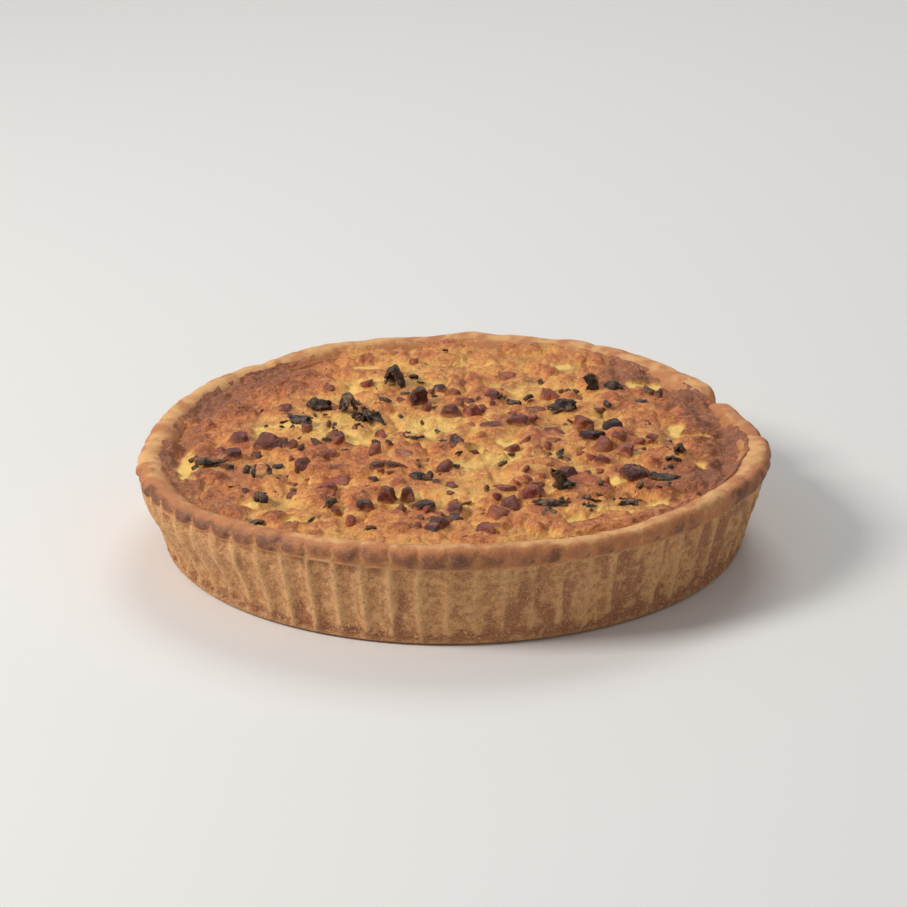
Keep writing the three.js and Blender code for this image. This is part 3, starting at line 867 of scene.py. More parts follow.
# %% The skin's relief
def skin_fields(plan):
    """Everything about the skin at any places in plan (mm). Warped puffs of three sizes make the
    lumps, blisters are domes, torn places are sunk and smooth, sunken bacon pushes the skin up,
    and the skin climbs at the toppings and sinks beside the rim. All of it is added to the CAD
    filling's long waves. Over the last few millimetres the skin laps onto the rim's inner side."""
    flat = np.concatenate([plan, np.zeros_like(plan[..., :1])], axis=-1)
    radius = np.hypot(plan[..., 0], plan[..., 1])
    plan_angle = angle_of(plan)
    to_rim = skin_edge_radius(plan_angle) - radius
    warp = np.stack([clouds(flat, 9.0, 71), clouds(flat, 9.0, 72), 0 * radius], axis=-1)
    warped = flat + 4.5 * warp
    torn = soft_step(-0.5, 0.55, oval_depth(plan, TORN, 0.75 * clouds(flat, 5.0, 61)))
    blister = np.clip(oval_depth(plan, BLISTERS, 0.3 * clouds(flat, 7.0, 62)), 0, 1)
    near = hump(topping_distance(plan), 0, 1.9)

    lumps = 1.25 * (puffs(warped, 17.0, 73, 1) - 0.42) + 1.0 * (puffs(warped, 8.0, 74, 1) - 0.42)
    curds = 1.0 * (puffs(warped + 2 * warp, 4.0, 75, 2) - 0.45)
    wrinkles = 0.40 * clouds(warped * [1.0, 1.6, 1.0], 2.2, 76, 2)
    under_skin = soft_step(0.35, 0.62, cloud(flat + 1.5 * warp, 8.0, 64)) * soft_step(105, 88, radius)
    relief = (1 - 0.7 * torn) * (2.3 * lumps + 0.8 * curds + wrinkles)
    relief += 1.6 * np.sqrt(blister) - 0.9 * torn
    relief += 0.9 * under_skin * (0.6 + clouds(flat, 2.6, 65, 2))
    relief = (1 - 0.6 * near) * relief + 0.9 * near
    sides = side_weight(plan_angle)
    sunk_edge = (0.2 + 1.5 * sides) * hump(to_rim, 8.0, 4.5)
    height = cad_skin_height(plan) - 0.1 + relief - sunk_edge
    height += 0.7 * sum_of_bells(CREST_BULGES, plan_angle) * soft_step(40, 4, to_rim)
    on_rim_side = rim_inside_height(radius, plan_angle) + 0.15 + 0.30 * clouds(flat, 3.0, 77, 2)
    joining = 1 - soft_step(1.0, 4.5, to_rim)
    height = (1 - joining) * height + joining * on_rim_side
    height = np.maximum(height, on_rim_side * (joining > 0.02) - 0.4)
    return {
        "flat": flat, "radius": radius, "to_rim": to_rim, "torn": torn, "blister": blister,
        "under_skin": under_skin, "lumps": lumps, "curds": curds, "sides": sides, "height": height,
    }


fields = skin_fields(skin)
skin_height = fields["height"]
print("skin from", np.round(skin_height.min(), 1), "to", np.round(skin_height.max(), 1), "mm")

# %% The skin's colours
flat, torn, sides = fields["flat"], fields["torn"], fields["sides"]
lumps, curds = fields["lumps"], fields["curds"]
broad = clouds(flat, 26.0, 81)
middle_size = clouds(flat, 7.0, 82)
pool = soft_step(-0.6, 0.8, oval_depth(skin, POOLS, 0.9 * clouds(flat, 12.0, 85)))
outer = soft_step(62, 112, fields["radius"])
yellow = np.clip(torn + 0.62 * pool * soft_step(0.25, -0.35, lumps), 0, 1)
browned = 0.35 + 0.28 * broad + 0.28 * middle_size + 0.24 * lumps + 0.24 * curds
browned += 0.12 * outer + 0.28 * fields["blister"] - 0.22 * pool - 0.5 * torn
browned += (0.44 * sides - 0.04) * soft_step(70, 108, fields["radius"])
edge_band = hump(fields["to_rim"], 3.0, 4.5 + 5.0 * sides)
caramel = edge_band * (0.25 + 0.95 * sides) * (0.75 + 1.3 * clouds(flat, 9.0, 83))
caramel += (0.15 + 0.65 * sides) * outer * soft_step(0.1, 0.5, clouds(flat, 14.0, 84))

PATCHES = 70                        # reddish patches where bacon lies just under the skin
bacon_middles = np.array([toppings[name]["middle"] for name in bacon_nodes])
patch_luck = np.random.default_rng(31)
patch_places = bacon_middles[patch_luck.integers(0, len(bacon_middles), PATCHES)]
patch_places = patch_places + patch_luck.normal(0, 11, (PATCHES, 2))
ruddy = np.zeros(skin.shape[:-1])
for place, size in zip(patch_places, patch_luck.uniform(2.0, 4.2, PATCHES)):
    away = ((skin - place) ** 2).sum(axis=-1) / size**2
    ruddy = np.maximum(ruddy, np.exp(-away) * (0.7 + 0.5 * middle_size))
skin_attributes = {
    "browned": np.clip(browned, 0, 1),
    "yellow": yellow,
    "caramel": np.clip(caramel, 0, 1),
    # painted shade in the creases between the lumps
    "crease": soft_step(-0.30, -0.75, lumps + 0.5 * curds),
    "ruddy": np.clip(0.8 * ruddy + 0.9 * fields["under_skin"], 0, 1) * (1 - torn),
}
print("mean browning:", np.round(skin_attributes["browned"].mean(), 2))


# %% Finish of the custard
def custard_material():
    """Yellow custard under a golden to brown skin, dark purple-brown at the rim, reddish where bacon lies
    just under the skin, with painted shade in the creases between lumps. Noise breaks each edge."""
    material, wire, shader = start_material("browned_custard")
    grain = place_grain(wire, 1000.0)
    place = wire.place()
    mottle = wire.noise(place, 330.0, detail=6.0, roughness=0.7, distortion=0.9)
    streaks = wire.noise(place, 560.0, detail=4.0, roughness=0.65, distortion=1.6)
    uneven = wire.math("MULTIPLY", wire.math("SUBTRACT", mottle, 0.5), 1.9)
    browned = wire.math("ADD", wire.attribute("browned"), uneven)

    color = wire.mix(wire.span(browned, 0.0, 0.36), srgb(252, 208, 112), srgb(242, 172, 88))
    color = wire.mix(wire.span(browned, 0.34, 0.70), color, srgb(214, 126, 66))
    color = wire.mix(wire.span(browned, 0.68, 1.10), color, srgb(146, 76, 44))
    color = wire.tint(color, wire.span(streaks, 0.50, 0.72), 0.30, srgb(186, 100, 54))
    color = wire.tint(color, wire.attribute("caramel"), 0.70, srgb(146, 90, 68))
    reddish = wire.math("MULTIPLY", wire.attribute("ruddy"), wire.span(mottle, 0.34, 0.56, 0.25, 0.8))
    color = wire.mix(reddish, color, srgb(178, 84, 54))
    # painted shade in the creases between the lumps
    color = wire.tint(color, wire.attribute("crease"), 0.40, srgb(146, 88, 46))
    loose_yellow = wire.math("MULTIPLY", wire.attribute("yellow"), wire.span(mottle, 0.30, 0.50))
    color = wire.tint(color, loose_yellow, 0.85, srgb(244, 202, 108))
    color = wire.tint(color, grain["Dark"], 0.30, srgb(156, 90, 50))
    color = wire.tint(color, grain["Light"], 0.34, srgb(250, 208, 132))
    wire.feed(shader.inputs["Base Color"], color)
    wire.feed(shader.inputs["Roughness"], wire.span(browned, 0.0, 1.0, 0.36, 0.50))

    relief = wire.math("ADD", grain["Height"], wire.math("MULTIPLY", streaks, 1.2))
    calm = wire.math("SUBTRACT", 1.0, wire.math("MULTIPLY", wire.attribute("yellow"), 0.6))
    wire.bump(shader, wire.math("MULTIPLY", relief, calm), 0.85, 0.0008)
    let_light_in(shader, 0.10, (0.005, 0.003, 0.0012), 0.4)
    return material


# %% Close the disc into a body
CUSTARD_FOOT = 12 * MM              # the custard ends here, out of sight inside the crust
CUSTARD_TAPER = 0.985               # its foot is smaller than its skin by this factor


def disc_body(name, tops, attributes, material, foot_height):
    """A disc's skin closed by a wall from its edge down to foot_height and a flat fan below."""
    side = tops.shape[0]
    index = np.arange(side * side).reshape(side, side)
    quads = np.stack([index[:-1, :-1], index[:-1, 1:], index[1:, 1:], index[1:, :-1]], axis=-1)
    quads = quads.reshape(-1, 4)
    loop = np.concatenate([index[0, :-1], index[:-1, -1], index[-1, :0:-1], index[:0:-1, 0]])
    top_points = tops.reshape(-1, 3)
    lower = top_points[loop] * [CUSTARD_TAPER, CUSTARD_TAPER, 0.0] + [0, 0, foot_height]
    points = np.vstack([top_points, lower, [[0, 0, foot_height]]])
    below = side * side + np.arange(len(loop))
    wall = np.stack([below, np.roll(below, -1), np.roll(loop, -1), loop], axis=-1)
    fan = np.stack([np.roll(below, -1), below, np.full(len(loop), len(points) - 1)], axis=-1)
    spread = {}
    for key, values in attributes.items():
        spread[key] = np.concatenate([values.ravel(), values.ravel()[loop], [0.0]])
    faces = quads.tolist() + wall.tolist() + fan.tolist()
    return finish_mesh(name, points.tolist(), faces, spread, material)


skin_points = np.concatenate([skin, skin_height[..., None]], axis=-1) * MM
custard = disc_body("custard", skin_points, skin_attributes, custard_material(), CUSTARD_FOOT)
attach(custard, "root")
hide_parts("filling")
print("custard triangles:", sum(len(face.vertices) - 2 for face in custard.data.polygons))

# %% [markdown]
# ## The bacon
# Each dice was cut by hand, fried a little and baked: flat cut faces that meet at softened edges, dark
# red and moist on the sides, paler and dried on top, with a vein of fat through some of them.
# A dice is a rounded form about its middle, so it is drawn as a distance in every direction. That
# distance is the smallest one at which a ray from the middle meets a face of the CAD dice, or one
# of a few extra cuts that take off its corners. Taking a soft smallest value rounds the edges.

# %% A cut dice as a distance in every direction
DICE_ROWS, DICE_COLUMNS = 34, 52
BACON_SINK = 1.6                    # how far a dice reaches down into the skin, in mm


def node_faces(node):
    """Corner points of the triangles of a CAD node, shaped (triangles, 3, 3), in mm."""
    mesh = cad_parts[node].data
    mesh.calc_loop_triangles()
    corners = np.empty(len(mesh.loop_triangles) * 3, np.int32)
    mesh.loop_triangles.foreach_get("vertices", corners)
    return (node_points(node)[corners] / MM).reshape(-1, 3, 3)


def directions(rows, columns):
    """Unit directions over a ball: latitude from near -90 to near 90 degrees, all longitudes."""
    latitude = np.radians(np.linspace(-90, 90, rows + 2)[1:-1])[:, None]
    longitude = (np.arange(columns) * 2 * np.pi / columns)[None, :]
    level = np.cos(latitude)
    upward = np.sin(latitude) + 0 * longitude
    return np.stack([level * np.cos(longitude), level * np.sin(longitude), upward], axis=-1)


def cut_reach(way, normal, distance, share, sharpness):
    """Soft minimum over cutting planes of distance / slope towards the plane:
    (sum of share * (slope / distance)^p)^(-1/p). A high p gives crisp edges."""
    slope = np.maximum(way @ np.swapaxes(normal, -1, -2), 1e-6)
    return (share * (slope / distance) ** sharpness).sum(axis=-1) ** (-1 / sharpness)


def dice_surface(node, sharpness, cutter):
    """Middle, directions and reach of a softened CAD dice with four extra random cuts."""
    faces = node_faces(node)
    normal = np.cross(faces[:, 1] - faces[:, 0], faces[:, 2] - faces[:, 0])
    area = np.linalg.norm(normal, axis=1)
    faces, normal, area = faces[area > 1e-4], normal[area > 1e-4], area[area > 1e-4]
    normal = normal / area[:, None]
    middle = (faces.mean(axis=1) * area[:, None]).sum(axis=0) / area.sum()
    distance = np.maximum(((faces.mean(axis=1) - middle) * normal).sum(axis=1), 0.8)
    distance += BACON_SINK * (normal[:, 2] < -0.7)
    share = area / area.mean() * 0.35
    way = directions(DICE_ROWS, DICE_COLUMNS)

    cuts = cutter.normal(size=(4, 3)) * [1, 1, 0.6] + [0, 0, 0.6]
    cuts /= np.linalg.norm(cuts, axis=1, keepdims=True)
    plain_reach = cut_reach(cuts, normal, distance, share, sharpness)
    normal = np.vstack([normal, cuts])
    distance = np.append(distance, plain_reach * cutter.uniform(0.70, 0.96, 4))
    share = np.append(share, np.ones(4))
    return middle, way, cut_reach(way, normal, distance, share, sharpness)


def soften(values, rounds):
    """Each reach replaced by the mean of itself and its four neighbours on the ball."""
    for _ in range(rounds):
        padded = np.vstack([values[:1], values, values[-1:]])
        sides = np.roll(values, 1, axis=1) + np.roll(values, -1, axis=1)
        values = (2 * values + padded[:-2] + padded[2:] + sides) / 6
    return values


middle, way, reach = dice_surface(bacon_nodes[0], 20.0, np.random.default_rng(1))
print("first dice reaches", np.round(reach.min(), 1), "to", np.round(reach.max(), 1), "mm from its middle")


# %% Finish of the bacon
def bacon_material():
    """Dark red meat, greyer and duller where the top dried, with pinkish fat along its veins, dark
    cut edges, char on some, and a film of custard skin round the foot."""
    material, wire, shader = start_material("baked_bacon")
    place = wire.place()
    fibres = wire.noise(place, 480.0, detail=5.0, roughness=0.65, distortion=1.5)
    spots = wire.noise(place, 1200.0, detail=3.0, roughness=0.6)
    tone = wire.attribute("tone")
    meat = wire.mix(tone, srgb(84, 22, 16), srgb(184, 72, 40))
    dark_meat = wire.mix(tone, srgb(44, 14, 12), srgb(118, 38, 24))
    meat = wire.mix(wire.span(fibres, 0.42, 0.66), meat, dark_meat)
    dried_color = wire.mix(tone, srgb(108, 54, 42), srgb(182, 96, 64))
    dried_color = wire.mix(wire.span(spots, 0.44, 0.62), dried_color, srgb(98, 52, 42))
    dry_fibres = wire.span(fibres, 0.28, 0.60, 0.35, 1.0)
    color = wire.tint(meat, wire.attribute("dried"), dry_fibres, dried_color)
    color = wire.tint(color, wire.attribute("fat"), 0.70, srgb(190, 126, 92))
    color = wire.tint(color, wire.attribute("edge"), 0.55, srgb(66, 28, 22))
    color = wire.tint(color, wire.attribute("charred"), 0.88, srgb(42, 26, 22))
    color = wire.tint(color, wire.span(spots, 0.60, 0.74), 0.40, srgb(206, 144, 96))
    skin_cover = wire.span(fibres, 0.30, 0.58, 0.3, 1.0)
    color = wire.tint(color, wire.attribute("skin"), skin_cover, srgb(206, 134, 82))
    wire.feed(shader.inputs["Base Color"], color)
    wire.feed(shader.inputs["Roughness"], wire.span(wire.attribute("dried"), 0.0, 1.0, 0.28, 0.52))
    height = wire.math("ADD", fibres, wire.math("MULTIPLY", spots, 0.6))
    wire.bump(shader, height, 1.0, 0.0010)
    shader.inputs["Coat Weight"].default_value = 0.18
    shader.inputs["Coat Roughness"].default_value = 0.28
    let_light_in(shader, 0.06, (0.003, 0.001, 0.0006), 0.3)
    return material


BACON = bacon_material()

# %% [markdown]
# Some dice stand out: the broad slab on the left with its grey dried top, the knobbly dark log on the
# right, a few that are paler or nearly black. Their looks are named here: tone from dark to light
# meat, how dried the top is, and how charred. The others draw theirs at random.

# %% Make the dice
DICE_LOOKS = {
    "bacon_02": (0.25, 1.0, 0.15), "bacon_05": (0.75, 0.5, 0.0), "bacon_07": (0.15, 1.0, 0.25),
    "bacon_13": (0.85, 0.8, 0.0), "bacon_14": (0.35, 0.9, 0.35), "bacon_18": (0.10, 1.0, 0.7),
    "bacon_19": (0.05, 0.9, 0.8), "bacon_21": (0.9, 0.3, 0.0), "bacon_24": (0.15, 0.4, 0.2),
    "bacon_26": (0.85, 0.4, 0.0), "bacon_27": (0.8, 0.9, 0.45), "bacon_28": (0.3, 0.9, 0.2),
    "bacon_31": (0.05, 0.6, 0.4), "bacon_33": (0.05, 0.5, 0.4),
}
ROUGH_DICE = ("bacon_07", "bacon_18", "bacon_19", "bacon_24")


def dice_piece(node, number):
    """One bacon dice for one CAD node, with its own sharpness, taper, lean, tone, fat and char.
    Clouds make it lumpy, and puffs cut creases into it, both along the rays from its middle."""
    dice_luck = np.random.default_rng(500 + number)
    middle, way, reach = dice_surface(node, dice_luck.uniform(34, 64), dice_luck)
    points = middle + way * soften(reach, 1)[..., None]
    size = reach.mean()
    taper = dice_luck.uniform(0.02, 0.24) * (points[..., 2] - middle[2]) / size
    lean = dice_luck.uniform(-0.22, 0.22, 2) * (points[..., 2:] - middle[2])
    points[..., :2] += lean - taper[..., None] * (points[..., :2] - middle[:2])
    knobbly = 2.3 if node in ROUGH_DICE else 1.0
    lumps = 0.09 * size * clouds(points, 1.0 * size, 300 + number)
    creases = soft_step(0.25, 0.0, puffs(points, 3.0, 350 + number, 1))
    lumps += 0.22 * knobbly * (clouds(points, 2.2, 340 + number, 2) - creases)
    points = points + way * lumps[..., None]
    up = (points[..., 2] - points[..., 2].min()) / np.ptp(points[..., 2])
    drawn = (dice_luck.uniform(0.1, 0.9), dice_luck.uniform(0.3, 1.0), dice_luck.uniform(0, 0.25))
    tone, dry, char = DICE_LOOKS.get(node, drawn)
    dried = dry * soft_step(0.55, 0.85, up + 0.22 * clouds(points, 3.0, 380 + number))
    vein_way = np.append(dice_luck.normal(size=2), 0.4)
    vein_way /= np.linalg.norm(vein_way)
    vein = (points - middle) @ vein_way / size + 0.35 * clouds(points, 4.0, 420 + number)
    vein += dice_luck.uniform(-0.5, 0.5)
    fat = hump(vein, 0, 0.16) * soft_step(0.5, 0.8, dice_luck.uniform())
    burnt = 0.5 * up + 0.5 * clouds(points, 3.6, 460 + number) + 0.2 * char
    charred = soft_step(0.78 - char, 1.1 - char, burnt)
    above_foot = (points[..., 2] - toppings[node]["low"]) / 2.2 + 0.7 * clouds(points, 2.5, 520 + number, 2)
    film = soft_step(0.0, 0.5, clouds(points, 3.5, 560 + number)) * tone
    attributes = {
        "skin": 0.9 * soft_step(1.0, 0.3, above_foot) + 0.45 * film,
        "edge": np.clip(7.0 * (reach - soften(reach, 12)) / size, 0, 1),
        "tone": np.clip(tone + 0.3 * clouds(points, 5.0, 480 + number), 0, 1),
        "dried": dried,
        "fat": fat,
        "charred": charred,
    }
    return ring_piece(node + "_dice", points * MM, attributes, BACON)


for number, node in enumerate(bacon_nodes):
    dice = dice_piece(node, number)
    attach(dice, "root")
    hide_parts(node)
print(len(bacon_nodes), "dice made, each of", DICE_ROWS * DICE_COLUMNS * 2, "triangles")

# %% [markdown]
# ## Small dice of bacon
# Between the large dice lie many small ones, some nearly covered by the custard. They don't need to be
# nodes, so they are one piece. All of them are worked out at once: the arrays have one more
# dimension, the number of the dice.

# %% Joined copies
def joined_rings(name, rings, attributes, material):
    """One mesh from many closed stacks of rings, shaped (copies, rows, columns, 3)."""
    copies, rows, columns = rings.shape[:3]
    low, high = rings[:, 0].mean(axis=1), rings[:, -1].mean(axis=1)
    points = np.concatenate([low[:, None], rings.reshape(copies, -1, 3), high[:, None]], axis=1)
    count = points.shape[1]
    spread = {}
    for key, values in attributes.items():
        body = np.broadcast_to(values, (copies, rows, columns)).reshape(copies, -1)
        spread[key] = np.concatenate([body[:, :1], body, body[:, -1:]], axis=1)
    one = ring_faces(rows, columns)
    quads = np.array([face for face in one if len(face) == 4])
    fans = np.array([face for face in one if len(face) == 3])
    shift = (np.arange(copies) * count)[:, None, None]
    faces = (quads + shift).reshape(-1, 4).tolist() + (fans + shift).reshape(-1, 3).tolist()
    return finish_mesh(name, points.reshape(-1, 3).tolist(), faces, spread, material)


def as_matrices(rows):
    """Three rows of three arrays each, as one array of 3 x 3 matrices."""
    return np.stack([np.stack(row, axis=-1) for row in rows], axis=-2)


def turn_matrices(heading, tilt, tilt_heading):
    """Rotation matrices: a turn about the upright, then a tilt about a level axis (ax, ay, 0). The
    tilt is cos(t) * I + (1 - cos(t)) * a a' + sin(t) * [a]x."""
    c, s = np.cos(heading), np.sin(heading)
    zero, one = np.zeros_like(c), np.ones_like(c)
    spin = as_matrices([[c, -s, zero], [s, c, zero], [zero, zero, one]])
    ax, ay = np.cos(tilt_heading), np.sin(tilt_heading)
    ct, st = np.cos(tilt), np.sin(tilt)
    lean = as_matrices([
        [ct + ax * ax * (1 - ct), ax * ay * (1 - ct), ay * st],
        [ax * ay * (1 - ct), ct + ay * ay * (1 - ct), -ax * st],
        [-ay * st, ax * st, ct],
    ])
    return lean @ spin


def set_down(local, plan, sink, heading, tilt, tilt_heading):
    """Copies drawn about the origin, turned and set on the skin, sunk by the given depth."""
    turned = np.einsum("nij,nrcj->nrci", turn_matrices(heading, tilt, tilt_heading), local)
    ground = skin_fields(plan)["height"] - sink
    return turned + np.concatenate([plan, ground[:, None]], axis=1)[:, None, None, :]


SCATTER_RADIUS = 112.0              # beyond it the skin climbs the rim, and nothing lies there


def scatter_places(count, around_places, spread, seed, clear=1.2):
    """Places drawn about the given ones, kept on the skin and clear of the large toppings. Three
    times as many are drawn as are asked for, and the first that fit are kept."""
    scatter = np.random.default_rng(seed)
    base = around_places[scatter.integers(0, len(around_places), count * 3)]
    places = base + scatter.normal(0, spread, (count * 3, 2))
    fit = (np.hypot(*places.T) < SCATTER_RADIUS) & (topping_distance(places) > clear)
    return places[fit][:count]


print("joined copies share one set of", len(ring_faces(6, 9)), "faces each")

# %% Make the small dice
# right of the middle, behind the middle, size across, all in mm
LARGER_SMALL_DICE = [
    (-97, -10, 5), (-66, -8, 4), (-6, 62, 6), (-11, 32, 6), (14, 30, 5), (19, 59, 5), (-37, 63, 5),
    (-32, -17, 6), (-4, -34, 7), (1, -16, 6), (-45, -49, 9), (41, 51, 6), (24, -15, 6), (61, -13, 7),
    (68, -7, 6), (61, 32, 5), (24, 76, 6), (53, 72, 5), (-60, -38, 6), (0, -91, 5), (13, -106, 6),
    (17, -87, 8), (22, -76, 7), (-41, 39, 5), (88, 50, 4), (-10, 57, 4), (30, -9, 4), (64, 12, 4),
]
listed = np.array(LARGER_SMALL_DICE, float)
near_bacon = scatter_places(80, bacon_middles, 10.0, 41)
loose = scatter_places(34, np.zeros((1, 2)), 62.0, 42)
small_places = np.concatenate([listed[:, :2], near_bacon, loose])
small_luck = np.random.default_rng(43)
small_count = len(small_places)
small_size = np.concatenate([
    listed[:, 2] * 0.56, small_luck.uniform(1.2, 2.5, small_count - len(listed)),
])
LONGEST_REACH = 1.5                 # keeps a corner that few planes cut from shooting out


def small_dice_rings():
    """A ball of directions cut by nine planes a dice: six near the faces of a box, which stand at
    half its sides, and three at random. All distances are shares of the dice's size."""
    way = directions(7, 10)
    normal = small_luck.normal(size=(small_count, 9, 3))
    normal[:, :6] = 0.35 * normal[:, :6] + np.concatenate([np.eye(3), -np.eye(3)])
    normal /= np.linalg.norm(normal, axis=-1, keepdims=True)
    shape = small_luck.uniform([0.8, 0.55, 0.5], [1.25, 0.9, 0.8], (small_count, 3))
    distance = np.concatenate([shape, shape, small_luck.uniform(0.75, 1.1, (small_count, 3))], axis=1)
    reach = cut_reach(way[None], normal[:, None], distance[:, None, None], 0.6, 28.0)
    return way * np.minimum(reach, LONGEST_REACH)[..., None] * small_size[:, None, None, None]


small_local = small_dice_rings()
small_rings = set_down(
    small_local, small_places, small_size * small_luck.uniform(-0.15, 0.6, small_count),
    small_luck.uniform(0, 2 * np.pi, small_count), small_luck.uniform(0, 0.5, small_count),
    small_luck.uniform(0, 2 * np.pi, small_count),
)
small_up = small_local[..., 2] / small_size[:, None, None]
small_attributes = {
    "skin": np.clip(0.55 - 0.8 * small_up + small_luck.uniform(-0.4, 0.4, small_local.shape[:-1]), 0, 0.9),
    "edge": np.clip(1.6 * (np.linalg.norm(small_local, axis=-1) / small_size[:, None, None] - 0.95), 0, 1),
    "tone": small_luck.uniform(0.3, 1.0, (small_count, 1, 1)),
    "dried": soft_step(0.0, 0.6, small_up) * small_luck.uniform(0.2, 1.0, (small_count, 1, 1)),
    "fat": (small_luck.uniform(0, 1, (small_count, 1, 1)) > 0.8) * soft_step(0.2, -0.1, small_up),
    "charred": (small_luck.uniform(0, 1, (small_count, 1, 1)) > 0.85) * soft_step(0.1, 0.5, small_up),
}
small_bacon = joined_rings("small_bacon", small_rings * MM, small_attributes, BACON)
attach(small_bacon, "root")
print(small_count, "small dice,", len(small_bacon.data.polygons), "faces")

# %% [markdown]
# ## The leek
# Strips of green leek dried out and charred in the oven: thin, ribbed, curled and torn into ribbons.
# A piece is drawn as three ribbons: a wide one, and two narrower ones that lie askew over it. A ribbon
# is a path that goes over the custard as an arch, a tent, an open ring or an upright blade. It has
# a width that narrows and tears towards its ends, and a thickness, and is drawn as closed rings one
# after the other along the path. Solidify could give the thickness, but it can't thin the edges.

# %% The ribbons of a leek piece
RIBBONS, RIBBON_ROWS, RIBBON_COLUMNS = 3, 36, 18
LEEK_SINK = 0.9                     # how far a piece reaches down into the skin, in mm


def ribbon_path(kind, half_span, rise, s):
    """Across and up for s from -1 to 1 along a ribbon. A leaf is an arch 1 - |s|^1.8 and a fold a
    tent 1 - |s|^1.1, and both stop half way down on their far side, where the end stands free. A
    roll is part of a circle that opens upwards, and a blade stands up."""
    if kind == "roll":
        swing = np.radians(152) * s
        return half_span * np.sin(swing) * 1.05, rise * 0.53 * (1 - np.cos(swing))
    if kind == "blade":
        return half_span * (0.5 * s + 0.25 * np.sin(3 * s)), rise * (s + 1) / 2
    power = 1.1 if kind == "fold" else 1.8
    return half_span * s, rise * (1 - np.where(s > 0, 0.62 * s, -s) ** power)


def ribbon_rings(kind, length, span, rise, luck_of_piece, seed):
    """Closed rings of all ribbons of a piece, shaped (ribbons, rows, points, 3): along, across, up.
    The first ribbon is nearly as wide as the piece and the others are narrower and lie askew over
    it; in a fold the last one crosses it. Clouds shorten the ribbons' ends, nibble at their sides
    and crumple the middle surface. The two sides lie half a thickness to either side of it."""
    def draw(low, high):
        """One random number for each ribbon."""
        return luck_of_piece.uniform(low, high, (RIBBONS, 1, 1))

    def by_ribbon(*values):
        """A value for each ribbon, shaped to go with the arrays of points."""
        return np.array(values)[:, None, None]

    s, t = np.meshgrid(np.linspace(-1, 1, RIBBON_ROWS), np.linspace(-1, 1, RIBBON_COLUMNS), indexing="ij")
    s, t = np.tile(s, (RIBBONS, 1, 1)), np.tile(t, (RIBBONS, 1, 1))
    number = np.arange(RIBBONS)[:, None, None] + 0 * s
    at_end = np.stack([5.0 * t, 30.0 * number, 9.0 * np.sign(s)], axis=-1)
    frayed = np.clip(0.5 + clouds(at_end, 1.6, seed, 2), 0, 1)
    s_torn = s * (1 - 0.55 * frayed * np.abs(s) ** 3)
    rises = rise * by_ribbon(1.0, 0.86, 0.62) * draw(0.92, 1.0)
    across, up = ribbon_path(kind, span / 2 * draw(0.85, 1.0), rises, s_torn)
    step_a, step_u = np.gradient(across, axis=1), np.gradient(up, axis=1)
    size = np.hypot(step_a, step_u) + 1e-9
    normal_a, normal_u = -step_u / size, step_a / size

    at_side = np.stack([8.0 * s, 40.0 * number, 9.0 * np.sign(t)], axis=-1)
    nibbled = clouds(at_side, 2.6, seed + 4, 2)
    wide = length / 2 * by_ribbon(0.92, 0.50, 0.42) * draw(0.85, 1.1)
    wide = wide * (1 - 0.35 * np.abs(s) ** 3) * (1 + 0.85 * nibbled * t**2)
    place = by_ribbon(0.0, -0.55, 0.6) * draw(0.6, 1.0) * length / 2
    along = place + wide * t + draw(-0.22, 0.22) * length * s
    smooth_shape = np.stack([along, across + 13.0 * number, up], axis=-1)
    ribs = 0.10 * np.sin(along * 5.6 + 1.5 * clouds(smooth_shape, 4.0, seed + 1, 2))
    crumple = clouds(smooth_shape, 4.2, seed + 2, 2) + 0.45 * clouds(smooth_shape, 1.9, seed + 3, 2)
    cupped = draw(-0.10, 0.55) * wide * (1 - t**2)
    move = ribs + crumple + cupped
    half = 0.34 * (1 - 0.5 * np.abs(t) ** 4) * (1 - 0.5 * np.abs(s) ** 6)
    sides = []
    for sign, turn in ((1, slice(None)), (-1, slice(None, None, -1))):
        x = along[:, :, turn]
        y = (across + normal_a * (move + sign * half))[:, :, turn]
        z = (up + normal_u * (move + sign * half))[:, :, turn]
        sides.append(np.stack([x, y, z], axis=-1))
    turned_round = np.where(draw(-1, 1) > 0, 1.0, -1.0)[..., None]
    rings = np.concatenate(sides, axis=2)
    if kind == "roll":
        rings = rings[:, :, ::-1]
    rings = np.concatenate([turned_round * rings[..., :2], rings[..., 2:]], axis=-1)
    if kind == "fold":
        crossing = rings[-1, ..., :2] * [span / length, length / span]
        rings[-1, ..., 0], rings[-1, ..., 1] = -crossing[..., 1], crossing[..., 0]
    # painted sheen: grey along the crests of the ribs; painted light: brown towards the thin edges, as if
    # lit through
    one_side = {"rib_sheen": ribs / 0.20 + 0.5, "edge": np.maximum(np.abs(s), np.abs(t)) ** 6}
    both_sides = {
        key: np.concatenate([values, values[:, :, ::-1]], axis=2) for key, values in one_side.items()
    }
    return rings, both_sides


rings, _ = ribbon_rings("fold", 8, 10, 9, np.random.default_rng(5), 5)
print("a fold's box in mm:", np.round(np.ptp(rings.reshape(-1, 3), axis=0), 1))


